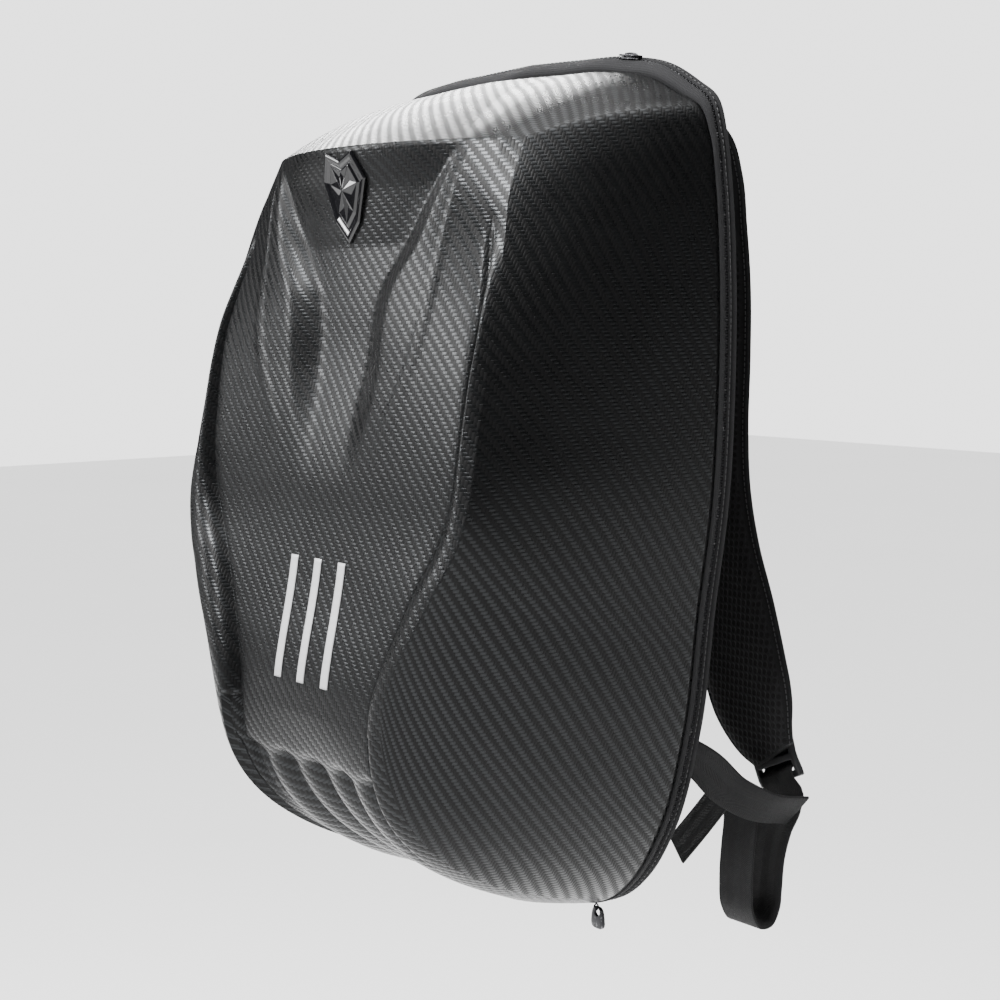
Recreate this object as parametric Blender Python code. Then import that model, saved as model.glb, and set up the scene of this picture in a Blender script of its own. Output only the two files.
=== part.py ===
"""Hard-shell motorcycle backpack, in metres, +Z up.

The shell faces -Y and the wearer's side faces +Y. The origin is the middle of the wearer's side,
where the pads rest against the back.
"""
import math

import bmesh
import bpy
import numpy as np
from mathutils import Vector

mm = 0.001

# Driving dimensions of the bag
bag_height = 480 * mm
half_width = 155 * mm
bag_depth = 175 * mm
shell_wall = 2.5 * mm
touch_gap = 0.3 * mm

# Relief of the shell
channel_depth = 7 * mm
bead_rise = 4.5 * mm
rib_depth = 5 * mm
rib_spacing = 28 * mm
rib_reach = 2.5 * rib_spacing
collar_depth = 3 * mm
top_step = 8 * mm

# Fabric band, back panel and pads
band_depth = 8 * mm
band_wall = 2.2 * mm
panel_thick = 4 * mm
panel_edge_round = 1.2 * mm
pad_thick = 10 * mm
pad_edge_round = 3.5 * mm
pad_corner = 24 * mm

# Badge and light strips
badge_half_width = 19 * mm
badge_height = 48 * mm
badge_base = 1.6 * mm
badge_ridge = 3.4 * mm
strip_width = 6.5 * mm
strip_thick = 0.6 * mm
strip_pitch = 22 * mm

# Straps, webbing and hardware
strap_thick = 11 * mm
strap_width = 64 * mm
strap_stand = 60 * mm
webbing_width = 25 * mm
webbing_thick = 1.6 * mm
webbing_play = 0.5 * mm
lock_height = 24 * mm
lock_thick = 5 * mm
lock_bar = 4 * mm
lock_side = 3 * mm
lock_width = webbing_width + 2 * (webbing_play + lock_side)
slider_length = 15 * mm
slider_width = 6.3 * mm
slider_thick = 3.4 * mm
slider_edge = 1.2 * mm
pull_length = 13 * mm
pull_width = 6 * mm
pull_thick = 2 * mm
pull_edge = 0.6 * mm

# Planes along Y: the wearer's side is 0, and the rest follows from the thicknesses
panel_rear = -(pad_thick + touch_gap)
panel_front = panel_rear - panel_thick
band_rear = panel_front - touch_gap
band_front = band_rear - band_depth
shell_edge = band_front - touch_gap
bag_bottom = -bag_height / 2
off_the_panel = Vector((0, 1, 0))

# Front of the shell, one row for each level from the top edge down.
# height and depth are shares of bag_height and bag_depth, the other columns shares of half_width.
front_columns = ("height", "centre_depth", "outer", "outer_depth", "groove", "groove_depth", "lip", "floor")
front_rows = (
    (0.883, 0.806, 0.703, 0.594, 0.639, 0.640, 0.555, 0.523),
    (0.829, 0.811, 0.723, 0.669, 0.665, 0.697, 0.540, 0.439),
    (0.775, 0.820, 0.755, 0.714, 0.697, 0.731, 0.520, 0.348),
    (0.727, 0.831, 0.781, 0.749, 0.729, 0.771, 0.505, 0.245),
    (0.685, 0.840, 0.800, 0.783, 0.748, 0.806, 0.482, 0.213),
    (0.640, 0.846, 0.810, 0.817, 0.748, 0.834, 0.426, 0.203),
    (0.600, 0.854, 0.816, 0.843, 0.745, 0.851, 0.355, 0.181),
    (0.546, 0.863, 0.829, 0.877, 0.739, 0.869, 0.275, 0.148),
    (0.517, 0.869, 0.832, 0.894, 0.729, 0.874, 0.271, 0.135),
    (0.483, 0.874, 0.823, 0.914, 0.697, 0.880, 0.271, 0.135),
    (0.446, 0.886, 0.781, 0.937, 0.639, 0.894, 0.271, 0.135),
    (0.429, 0.893, 0.752, 0.949, 0.606, 0.903, 0.271, 0.135),
    (0.406, 0.903, 0.713, 0.960, 0.568, 0.914, 0.271, 0.135),
    (0.375, 0.920, 0.658, 0.977, 0.523, 0.926, 0.271, 0.135),
    (0.333, 0.946, 0.581, 0.994, 0.465, 0.943, 0.271, 0.135),
    (0.292, 0.966, 0.529, 1.000, 0.419, 0.957, 0.271, 0.135),
    (0.258, 0.969, 0.510, 0.994, 0.406, 0.963, 0.271, 0.135),
)

# Heights between which the channel and the beads fade in, and where the strips and the badge sit
channel_end = (0.506, 0.550)
bead_start = (0.802, 0.688)
strip_ends = (0.429, 0.292)
badge_top = 0.878

# Channel wall from floor to lip: the steep foot's share of the climb, where the foot ends and
# where the gentler upper wall begins
foot_climb = 0.62
foot_end = 0.35
upper_start = 0.2
bead_lean = 0.75
rib_sharpness = 1.3

# Sliders: distances from the middle as shares of half_width, and the place across the band
top_slider_half = 0.53
base_slider_half = 0.38
slider_place = 0.6

# Back outline of the bag, right half from the top centre to the bottom centre
rim_columns = ("half", "height")
rim_rows = (
    (0.000, 0.994),
    (0.260, 0.991),
    (0.500, 0.987),
    (0.700, 0.973),
    (0.825, 0.951),
    (0.905, 0.933),
    (0.950, 0.892),
    (0.974, 0.842),
    (0.998, 0.740),
    (1.000, 0.625),
    (0.980, 0.500),
    (0.923, 0.377),
    (0.862, 0.236),
    (0.735, 0.108),
    (0.620, 0.050),
    (0.500, 0.016),
    (0.370, 0.000),
    (0.180, 0.000),
    (0.000, 0.000),
)
rim_corner_row = 5
rim_base_row = 15
top_fall = (0.87, 0.97)

# Section of the fabric band: along its depth, spread from the shell's edge to the back outline,
# and inset as a share of its wall
band_rows = (
    (0.00, 0.00, 0),
    (0.25, 0.55, 0),
    (0.60, 0.92, 0),
    (1.00, 1.00, 0),
    (1.00, 1.00, 1),
    (0.60, 0.92, 1),
    (0.25, 0.55, 1),
    (0.00, 0.00, 1),
)

# Pads: half widths as shares of half_width, heights as shares of bag_height
pad_columns = ("name", "top_half", "top", "base_half", "base")
pad_rows = (
    ("back_pad_upper", 0.68, 0.815, 0.70, 0.475),
    ("back_pad_lower", 0.69, 0.445, 0.52, 0.130),
)

# Badge outline, as shares of its half width and of its height from the top, and its raised middle
badge_outline = ((0.0, 0.10), (0.62, 0.0), (1.0, 0.30), (0.55, 0.78), (0.0, 1.0),
                 (-0.55, 0.78), (-1.0, 0.30), (-0.62, 0.0))
badge_crown = (0.0, 0.42)
badge_border = 0.72
badge_border_rise = 0.8

# Fullness of the walls between the front and the back outline, by place round the outline:
# 0 top centre, 1 top corner, 2 bottom corner, 3 bottom centre.
wall_columns = ("place", "forward", "outward")
wall_rows = (
    (0.0, 0.00, 0.50),
    (0.8, 0.05, 0.55),
    (1.0, 0.20, 0.60),
    (1.3, 0.25, 0.50),
    (1.7, 0.45, 0.50),
    (2.0, 0.90, 0.53),
    (3.0, 0.93, 0.56),
)

# Rings down the wall, where the ribs and beads underneath fade, and the fineness of each piece
wall_steps = (0.03, 0.10, 0.19, 0.29, 0.40, 0.52, 0.65, 0.78, 0.90, 1.0)
rib_window = (0.13, 0.24, 0.55, 0.85)
bead_fade = (0.15, 0.60)
cells_per_band = 3
strap_steps = 26
anchor_steps = 12
loop_steps = 32
end_steps = 8

# Shoulder strap, from its seat on the back panel down. half is a share of half_width, stand of
# strap_stand, height of bag_height and width of strap_width; tilt is the slope of the width, degrees.
strap_columns = ("half", "stand", "height", "width", "tilt")
strap_rows = (
    (0.455, 0.00, 0.915, 0.92, 0),
    (0.458, 0.30, 0.924, 0.94, 0),
    (0.462, 0.62, 0.922, 0.96, 0),
    (0.464, 0.87, 0.900, 0.97, 0),
    (0.466, 1.00, 0.860, 0.97, 0),
    (0.480, 1.03, 0.800, 0.97, 0),
    (0.500, 1.03, 0.730, 0.98, 0),
    (0.500, 1.03, 0.650, 1.00, 0),
    (0.495, 1.03, 0.570, 1.00, 0),
    (0.510, 1.03, 0.490, 1.00, 0),
    (0.570, 1.03, 0.410, 0.98, 3),
    (0.648, 1.02, 0.340, 1.00, 8),
    (0.704, 1.01, 0.280, 1.02, 14),
    (0.756, 1.00, 0.240, 0.96, 20),
    (0.806, 1.00, 0.210, 0.78, 26),
    (0.861, 1.00, 0.186, 0.52, 28),
)
strap_profile = ((-0.5, 0.0), (-0.46, 0.34), (-0.36, 0.5), (0.36, 0.5), (0.46, 0.34),
                 (0.5, 0.0), (0.46, -0.34), (0.36, -0.5), (-0.36, -0.5), (-0.46, -0.34))

# Ladder lock: its middle as shares of half_width and bag_height, and its slope in degrees
lock_place = (0.822, 0.173)
lock_tilt = 25

# Webbing: half is a share of half_width, height of bag_height and stand of the distance from the
# back panel to the webbing's plane. turn is the angle of its width about Z and tilt the slope.
webbing_columns = ("half", "stand", "height", "turn", "tilt")
anchor_rows = (
    (0.740, 0.00, 0.194, 20, 60),
    (0.770, 0.22, 0.178, 15, 56),
    (0.820, 0.50, 0.148, 8, 50),
    (0.900, 0.68, 0.131, 0, 48),
    (0.936, 1.005, 0.122, 0, 48),
)
loop_rows = (
    (0.862, 1.00, 0.128, 0, 14),
    (0.822, 1.00, 0.098, 0, 7),
    (0.790, 1.00, 0.060, 0, 2),
    (0.778, 1.00, 0.018, 0, 0),
    (0.774, 0.99, -0.004, 0, 0),
    (0.772, 0.91, -0.022, 0, 0),
    (0.770, 0.78, -0.022, 0, 0),
    (0.768, 0.69, -0.004, 0, 0),
    (0.765, 0.67, 0.030, 0, 0),
    (0.768, 0.68, 0.070, 0, 0),
    (0.770, 0.71, 0.100, 0, 2),
)
end_rows = (
    (0.722, 0.606, 0.1395, -29, -23),
    (0.665, 0.56, 0.112, -29, -23),
    (0.615, 0.49, 0.086, -29, -23),
    (0.568, 0.42, 0.062, -29, -23),
)


def column(rows, names, name):
    """One column of a table as an array."""
    return np.array([row[names.index(name)] for row in rows], dtype=float)


def smooth_value(stations, values, where):
    """Smooth curve through values at stations, read at each place in where."""
    order = np.argsort(stations)
    stations = np.asarray(stations, dtype=float)[order]
    values = np.asarray(values, dtype=float)[order]
    slopes = np.gradient(values, stations)
    where = np.clip(where, stations[0], stations[-1])
    index = np.clip(np.searchsorted(stations, where) - 1, 0, len(stations) - 2)
    span = stations[index + 1] - stations[index]
    t = (where - stations[index]) / span
    start = (2 * t**3 - 3 * t**2 + 1) * values[index] + (t**3 - 2 * t**2 + t) * span * slopes[index]
    end = (3 * t**2 - 2 * t**3) * values[index + 1] + (t**3 - t**2) * span * slopes[index + 1]
    return start + end


def ease(low, high, where):
    """0 below low, 1 above high, smooth between; low may be the larger."""
    t = np.clip((where - low) / (high - low), 0.0, 1.0)
    return t * t * (3 - 2 * t)


def front_value(name, height):
    """A column of the front table at a height share."""
    stations = column(front_rows, front_columns, "height")
    return smooth_value(stations, column(front_rows, front_columns, name), height)


def front_level(height):
    """Sizes of the front at one height share, in metres."""
    level = {}
    for name in ("outer", "groove", "lip", "floor"):
        level[name] = float(front_value(name, height)) * half_width
    for name in ("centre_depth", "outer_depth", "groove_depth"):
        level[name] = float(front_value(name, height)) * bag_depth
    return level


def front_surface(level, half, height):
    """Y of the shell's front at a distance from the middle."""
    half = abs(half)
    if half <= level["groove"]:
        bow = (half / level["groove"]) ** 2
        depth = level["centre_depth"] + (level["groove_depth"] - level["centre_depth"]) * bow
    else:
        share = min(1.0, (half - level["groove"]) / (level["outer"] - level["groove"]))
        depth = level["groove_depth"] + (level["outer_depth"] - level["groove_depth"]) * share
        depth += bead_rise * float(ease(*bead_start, height)) * math.sin(math.pi * share ** bead_lean)
    wall = (half - level["floor"]) / (level["lip"] - level["floor"])
    climb = foot_climb * float(ease(0, foot_end, wall)) + (1 - foot_climb) * float(ease(upper_start, 1, wall))
    depth -= channel_depth * (1 - climb) * float(ease(*channel_end, height))
    return panel_rear - depth


def front_halves(level):
    """Distances of the front's columns from the middle, out to the outer edge."""
    marks = (0.0, level["floor"], level["lip"], level["groove"], level["outer"])
    halves = [0.0]
    for inner, outer in zip(marks, marks[1:]):
        for step in range(1, cells_per_band + 1):
            halves.append(inner + (outer - inner) * step / cells_per_band)
    return halves


def rim_curve(count_top, count_side, count_base, drop):
    """Right half of the back outline, as (x, z) points from the top centre to the bottom centre."""
    half = column(rim_rows, rim_columns, "half") * half_width
    height = column(rim_rows, rim_columns, "height") * bag_height
    height = height - drop * ease(top_fall[0] * bag_height, top_fall[1] * bag_height, height)
    steps = np.hypot(np.diff(half), np.diff(height))
    length = np.concatenate([[0.0], np.cumsum(steps)])
    corner = length[rim_corner_row]
    base = length[rim_base_row]
    where = np.concatenate([
        np.linspace(0.0, corner, count_top + 1),
        np.linspace(corner, base, count_side + 1)[1:],
        np.linspace(base, length[-1], count_base + 1)[1:],
    ])
    return np.stack([smooth_value(length, half, where),
                     smooth_value(length, height, where) + bag_bottom], axis=-1)


def full_loop(half_points):
    """Closed outline from its right half: down the right side and up the left."""
    left = [(-x, z) for x, z in half_points[-2:0:-1]]
    return np.array(list(half_points) + left)


def loop_normals(loop):
    """Outward unit normals of a closed outline that runs clockwise seen from -Y."""
    along = np.roll(loop, -1, axis=0) - np.roll(loop, 1, axis=0)
    normals = np.stack([-along[:, 1], along[:, 0]], axis=-1)
    return normals / np.linalg.norm(normals, axis=1)[:, None]


def make_material(name, colour, roughness, metallic=0.0):
    """Principled material."""
    material = bpy.data.materials.new(name)
    material.use_nodes = True
    shader = material.node_tree.nodes["Principled BSDF"]
    shader.inputs["Base Color"].default_value = (*colour, 1.0)
    shader.inputs["Roughness"].default_value = roughness
    shader.inputs["Metallic"].default_value = metallic
    return material


def add_object(name, points, faces, material, smooth_angle=30):
    """Object from points and faces, with its faces turned outwards."""
    mesh = bpy.data.meshes.new(name)
    mesh.from_pydata([tuple(map(float, point)) for point in points], [], faces)
    shape = bmesh.new()
    shape.from_mesh(mesh)
    bmesh.ops.recalc_face_normals(shape, faces=shape.faces)
    shape.to_mesh(mesh)
    shape.free()
    mesh.materials.append(material)
    mesh.shade_smooth()
    mesh.set_sharp_from_angle(angle=math.radians(smooth_angle))
    item = bpy.data.objects.new(name, mesh)
    bpy.context.collection.objects.link(item)
    return item


def skin_loops(loops, closed_ends=True):
    """Points and faces of a surface through closed loops of equal length."""
    count = len(loops[0])
    points = [point for loop in loops for point in loop]
    faces = []
    for ring in range(len(loops) - 1):
        for k in range(count):
            following = (k + 1) % count
            faces.append((ring * count + k, ring * count + following,
                          (ring + 1) * count + following, (ring + 1) * count + k))
    if closed_ends:
        faces.append(tuple(range(count)))
        faces.append(tuple(range((len(loops) - 1) * count, len(loops) * count)))
    return points, faces


def shell_wall_point(start, finish, place, share):
    """Point on the wall between a front edge point and its point on the back outline."""
    places = column(wall_rows, wall_columns, "place")
    forward = float(smooth_value(places, column(wall_rows, wall_columns, "forward"), place))
    outward = float(smooth_value(places, column(wall_rows, wall_columns, "outward"), place))
    middle = (start + finish) / 2
    control = Vector((middle.x + outward * (finish.x - middle.x),
                      middle.y + forward * (start.y - middle.y),
                      middle.z + outward * (finish.z - middle.z)))
    point = start * (1 - share) ** 2 + control * (2 * share * (1 - share)) + finish * share ** 2
    along = (control - start) * (1 - share) + (finish - control) * share
    return point, along


def base_relief(half, level, share):
    """Height of the ribs and beads underneath, measured out of the surface."""
    if abs(half) < rib_reach:
        window = float(ease(rib_window[0], rib_window[1], share) * ease(rib_window[3], rib_window[2], share))
        wave = 0.5 + 0.5 * math.cos(2 * math.pi * half / rib_spacing)
        return -rib_depth * window * wave ** rib_sharpness
    across = (abs(half) - level["groove"]) / (level["outer"] - level["groove"])
    across = min(1.0, max(0.0, across))
    return bead_rise * math.sin(math.pi * across ** bead_lean) * float(ease(bead_fade[1], bead_fade[0], share))


def make_shell(material):
    """Moulded front: a grid over the face and rings down the walls to the open back edge."""
    heights = [row[0] for row in front_rows]
    grid = []
    for height in heights:
        level = front_level(height)
        halves = front_halves(level)
        halves = [-half for half in halves[:0:-1]] + halves
        z = height * bag_height + bag_bottom
        grid.append([Vector((half, front_surface(level, half, height), z)) for half in halves])
    across = len(grid[0])
    down = len(grid)
    middle = across // 2
    points = [point for row in grid for point in row]
    faces = []
    for i in range(down - 1):
        for j in range(across - 1):
            corner = i * across + j
            faces.append((corner, corner + 1, corner + across + 1, corner + across))

    # Right half of the grid's border from the top centre to the bottom centre, then the left half
    border = [(0, j) for j in range(middle, across)]
    border += [(i, across - 1) for i in range(1, down)]
    border += [(down - 1, j) for j in range(across - 2, middle - 1, -1)]
    places = list(np.linspace(0, 1, middle + 1)) + list(np.linspace(1, 2, down)[1:])
    places += list(np.linspace(2, 3, middle + 1)[1:])
    border += [(i, across - 1 - j) for i, j in border[-2:0:-1]]
    places += places[-2:0:-1]
    rim = full_loop(rim_curve(middle, down - 1, middle, top_step))

    base_level = front_level(heights[-1])
    ring_before = [i * across + j for i, j in border]
    for share in list(wall_steps) + [None]:
        ring = []
        for k, (i, j) in enumerate(border):
            start = grid[i][j]
            finish = Vector((rim[k][0], shell_edge - collar_depth, rim[k][1]))
            if share is None:
                point = Vector((finish.x, shell_edge, finish.z))
            else:
                point, along = shell_wall_point(start, finish, places[k], share)
                if i == down - 1:
                    out = Vector((0, along.z, -along.y)).normalized()
                    point = point + out * base_relief(start.x, base_level, share)
            ring.append(len(points))
            points.append(point)
        for k in range(len(ring)):
            following = (k + 1) % len(ring)
            faces.append((ring_before[k], ring_before[following], ring[following], ring[k]))
        ring_before = ring

    shell = add_object("shell", points, faces, material, 40)
    facing = shell.data.polygons[0].normal
    if facing.y > 0:
        shell.data.flip_normals()
    wall = shell.modifiers.new("Wall", "SOLIDIFY")
    wall.thickness = shell_wall
    wall.offset = -1.0
    wall.use_rim = True
    wall.use_even_offset = True
    return rim


def make_band(material, shell_rim, outline):
    """Fabric band from the shell's edge to the back panel, domed at the top."""
    inward = -loop_normals(outline)
    loops = []
    for along, spread, inset in band_rows:
        flat = shell_rim + (outline - shell_rim) * spread + inward * (inset * band_wall)
        y = band_front + (band_rear - band_front) * along
        loops.append([(x, y, z) for x, z in flat])
    points, faces = skin_loops(loops, closed_ends=False)
    count = len(outline)
    last = (len(band_rows) - 1) * count
    for k in range(count):
        following = (k + 1) % count
        faces.append((last + k, last + following, following, k))
    add_object("zip_band", points, faces, material)


def make_slab(name, outline, front, rear, edge_round, material):
    """Flat piece with a rounded edge on its rear face."""
    inward = -loop_normals(outline)
    turn = math.pi / 6
    sections = [(front, 0.0)]
    for step in range(4):
        angle = step * turn
        sections.append((rear - edge_round * (1 - math.sin(angle)), edge_round * (1 - math.cos(angle))))
    loops = []
    for y, inset in sections:
        flat = outline + inward * inset
        loops.append([(x, y, z) for x, z in flat])
    points, faces = skin_loops(loops)
    add_object(name, points, faces, material)


def rounded_outline(corners, radius, steps=5):
    """Outline through the corners of a convex shape, clockwise seen from -Y, with round corners."""
    outline = []
    count = len(corners)
    for k in range(count):
        corner = Vector(corners[k])
        to_last = (Vector(corners[k - 1]) - corner).normalized()
        to_next = (Vector(corners[(k + 1) % count]) - corner).normalized()
        bend = to_last.angle(to_next)
        reach = radius / math.tan(bend / 2)
        centre = corner + (to_last + to_next).normalized() * (radius / math.sin(bend / 2))
        first = corner + to_last * reach - centre
        final = corner + to_next * reach - centre
        start = math.atan2(first.y, first.x)
        sweep = (math.atan2(final.y, final.x) - start + math.pi) % (2 * math.pi) - math.pi
        for step in range(steps + 1):
            angle = start + sweep * step / steps
            outline.append(centre + Vector((math.cos(angle), math.sin(angle))) * radius)
    return np.array([tuple(point) for point in outline])


def make_pads(material):
    """Two plain pads on the wearer's side, with a channel between them."""
    for name, top_half, top, base_half, base in pad_rows:
        shares = ((-top_half, top), (top_half, top), (base_half, base), (-base_half, base))
        corners = [(half * half_width, height * bag_height + bag_bottom) for half, height in shares]
        outline = rounded_outline(corners, pad_corner)
        make_slab(name, outline, panel_rear + touch_gap, 0.0, pad_edge_round, material)


def front_point(half, z, lift):
    """Point a set distance forward of the shell's front."""
    height = (z - bag_bottom) / bag_height
    return Vector((half, front_surface(front_level(height), half, height) - lift, z))


def make_badge(material):
    """Faceted kite badge with a centre ridge and a lower border, seated on the channel's floor."""
    top = badge_top * bag_height + bag_bottom

    def place(half, down, lift):
        return front_point(half * badge_half_width, top - down * badge_height, touch_gap + lift)

    count = len(badge_outline)
    crown_down = badge_crown[1]
    points = [place(half, down, 0.0) for half, down in badge_outline]
    points += [place(half, down, badge_base) for half, down in badge_outline]
    points += [place(half * badge_border, crown_down + (down - crown_down) * badge_border,
                     badge_base * badge_border_rise) for half, down in badge_outline]
    points.append(place(*badge_crown, badge_ridge))
    points.append(place(*badge_crown, 0.0))
    faces = []
    for k in range(count):
        following = (k + 1) % count
        faces.append((k, following, count + following, count + k))
        faces.append((count + k, count + following, 2 * count + following, 2 * count + k))
        faces.append((2 * count + k, 2 * count + following, 3 * count))
        faces.append((k, following, 3 * count + 1))
    add_object("badge", points, faces, material, 5)


def make_strips(material):
    """Three light strips that follow the lower front, square at both ends."""
    levels = [row[0] for row in front_rows if strip_ends[1] <= row[0] <= strip_ends[0]]
    for name, place in (("strip_left", -1), ("strip_middle", 0), ("strip_right", 1)):
        loops = []
        for height in levels:
            z = height * bag_height + bag_bottom
            near = place * strip_pitch - strip_width / 2
            far = place * strip_pitch + strip_width / 2
            loops.append([front_point(near, z, touch_gap), front_point(far, z, touch_gap),
                          front_point(far, z, touch_gap + strip_thick),
                          front_point(near, z, touch_gap + strip_thick)])
        points, faces = skin_loops(loops)
        add_object(name, points, faces, material)


def route(rows, names, steps, reach, start=None):
    """Smooth centre line through a table's rows, with its other columns read along it.

    reach is the distance from the back panel that a stand of 1 means. start is a point put before
    the first row.
    """
    x = column(rows, names, "half") * half_width
    y = column(rows, names, "stand") * reach + panel_rear + touch_gap
    z = column(rows, names, "height") * bag_height + bag_bottom
    if start is not None:
        x, y, z = (np.concatenate([[value], values]) for value, values in zip(start, (x, y, z)))
        rows = rows[:1] + rows
    lengths = np.sqrt(np.diff(x) ** 2 + np.diff(y) ** 2 + np.diff(z) ** 2)
    stations = np.concatenate([[0.0], np.cumsum(lengths)])
    where = np.linspace(0.0, stations[-1], steps + 1)
    line = {"points": [Vector(p) for p in zip(*(smooth_value(stations, v, where) for v in (x, y, z)))]}
    for name in names[3:]:
        line[name] = smooth_value(stations, column(rows, names, name), where)
    return line


def sweep_band(line, profile, widths, thick, side, heading=None):
    """Loops of a flat band swept along a centre line; side is 1 for the right and -1 for the left.

    heading is the direction in which the band leaves its seat.
    """
    spots = line["points"]
    loops = []
    for k, spot in enumerate(spots):
        along = (spots[min(k + 1, len(spots) - 1)] - spots[max(k - 1, 0)]).normalized()
        if k == 0 and heading is not None:
            along = heading
        tilt = math.radians(line["tilt"][k])
        turn = math.radians(line["turn"][k]) if "turn" in line else 0.0
        across = Vector((math.cos(tilt) * math.cos(turn), math.cos(tilt) * math.sin(turn), math.sin(tilt)))
        across = (across - along * across.dot(along)).normalized()
        through = across.cross(along)
        loop = []
        for u, v in profile:
            point = spot + across * (u * widths[k]) + through * (v * thick)
            loop.append((point.x * side, point.y, point.z))
        loops.append(loop)
    return loops


def make_straps(material):
    """Padded shoulder straps, seated on the back panel near its top."""
    line = route(strap_rows, strap_columns, strap_steps, strap_stand)
    widths = line["width"] * strap_width
    for name, side in (("strap_right", 1), ("strap_left", -1)):
        loops = sweep_band(line, strap_profile, widths, strap_thick, side, off_the_panel)
        points, faces = skin_loops(loops)
        add_object(name, points, faces, material, 50)


def lock_plane():
    """Distance from the back panel to the middle of the ladder locks."""
    strap_end = strap_rows[-1][strap_columns.index("stand")] * strap_stand
    return strap_end + strap_thick / 2 + touch_gap + lock_thick / 2


def make_webbing(material):
    """Flat webbing: the anchors, the hanging loops and the free ends."""
    square = ((-0.5, -0.5), (0.5, -0.5), (0.5, 0.5), (-0.5, 0.5))
    lean = math.radians(lock_tilt)
    drop = lock_height / 2 + touch_gap
    below_lock = (lock_place[0] * half_width + math.sin(lean) * drop,
                  lock_plane() + panel_rear + touch_gap,
                  lock_place[1] * bag_height + bag_bottom - math.cos(lean) * drop)
    off_the_lock = Vector((math.sin(lean), 0, -math.cos(lean)))
    anchor_plane = lock_plane() - webbing_thick - touch_gap
    lines = {
        "anchor_webbing": (route(anchor_rows, webbing_columns, anchor_steps, anchor_plane), off_the_panel),
        "webbing_loop": (route(loop_rows, webbing_columns, loop_steps, lock_plane(), below_lock), off_the_lock),
        "webbing_end": (route(end_rows, webbing_columns, end_steps, lock_plane()), None),
    }
    lines["webbing_loop"][0]["tilt"][0] = lock_tilt
    for kind, (line, heading) in lines.items():
        widths = [webbing_width] * len(line["points"])
        for ending, side in (("right", 1), ("left", -1)):
            loops = sweep_band(line, square, widths, webbing_thick, side, heading)
            points, faces = skin_loops(loops)
            add_object(kind + "_" + ending, points, faces, material, 50)


def make_frame_plate(name, material):
    """Ladder lock: a plate with two slots and a middle bar, standing in the XZ plane."""
    side = lock_width / 2
    top = lock_height / 2
    bar = lock_bar / 2
    xs = [-side, lock_side - side, side - lock_side, side]
    zs = [-top, lock_bar - top, -bar, bar, top - lock_bar, top]
    holes = {(1, 1), (1, 3)}
    shape = bmesh.new()
    corners = {}
    for i, x in enumerate(xs):
        for j, z in enumerate(zs):
            corners[i, j] = shape.verts.new((x, 0.0, z))
    for i in range(len(xs) - 1):
        for j in range(len(zs) - 1):
            if (i, j) not in holes:
                shape.faces.new((corners[i, j], corners[i + 1, j], corners[i + 1, j + 1], corners[i, j + 1]))
    grown = bmesh.ops.extrude_face_region(shape, geom=shape.faces[:])
    moved = [item for item in grown["geom"] if isinstance(item, bmesh.types.BMVert)]
    bmesh.ops.translate(shape, verts=moved, vec=(0, lock_thick, 0))
    bmesh.ops.recalc_face_normals(shape, faces=shape.faces)
    mesh = bpy.data.meshes.new(name)
    shape.to_mesh(mesh)
    shape.free()
    mesh.materials.append(material)
    item = bpy.data.objects.new(name, mesh)
    bpy.context.collection.objects.link(item)
    return item


def make_locks(material):
    """Ladder locks on the outer side of the padded straps' ends."""
    half, height = lock_place
    for name, side in (("ladder_lock_right", 1), ("ladder_lock_left", -1)):
        lock = make_frame_plate(name, material)
        lock.location = (side * half * half_width, lock_plane() + panel_rear + touch_gap - lock_thick / 2,
                         height * bag_height + bag_bottom)
        lock.rotation_euler = (0, -side * math.radians(lock_tilt), 0)


def make_block(name, size, place, material, edge):
    """Bevelled block."""
    shape = bmesh.new()
    bmesh.ops.create_cube(shape, size=1.0)
    bmesh.ops.scale(shape, verts=shape.verts, vec=size)
    bmesh.ops.bevel(shape, geom=shape.edges[:], offset=edge, segments=2, profile=0.5, affect="EDGES")
    mesh = bpy.data.meshes.new(name)
    shape.to_mesh(mesh)
    shape.free()
    mesh.materials.append(material)
    mesh.shade_smooth()
    mesh.set_sharp_from_angle(angle=math.radians(40))
    item = bpy.data.objects.new(name, mesh)
    item.location = place
    bpy.context.collection.objects.link(item)
    return item


def outline_seat(outline, half, above):
    """Point, outward normal and slope of the back outline at a distance from the middle."""
    wrong_side = (outline[:, 1] > 0) != above
    index = int(np.argmin(np.abs(outline[:, 0] - half) + bag_height * wrong_side))
    along = outline[index + 1] - outline[index - 1]
    return outline[index], loop_normals(outline)[index], math.atan2(along[1], along[0])


def make_zip_parts(material, outline):
    """Sliders on the fabric band, with the short pull that hangs under the bag."""
    y = band_front + band_depth * slider_place
    lift = touch_gap + slider_thick / 2
    size = (slider_length, slider_width, slider_thick)
    for name, half, above in (("zip_slider_top", top_slider_half, True),
                              ("zip_slider_bottom", base_slider_half, False)):
        spot, normal, slope = outline_seat(outline, half * half_width, above)
        place = (spot[0] + normal[0] * lift, y, spot[1] + normal[1] * lift)
        slider = make_block(name, size, place, material, slider_edge)
        slider.rotation_euler = (0, -slope, 0)
    spot, normal, slope = outline_seat(outline, base_slider_half * half_width, False)
    corner_reach = pull_width / 2 * abs(math.sin(slope))
    drop = slider_thick + touch_gap * 2 + corner_reach + pull_length / 2
    make_block("zip_pull_bottom", (pull_width, pull_thick, pull_length),
               (spot[0] + normal[0] * drop, y, spot[1] + normal[1] * drop), material, pull_edge)


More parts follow.
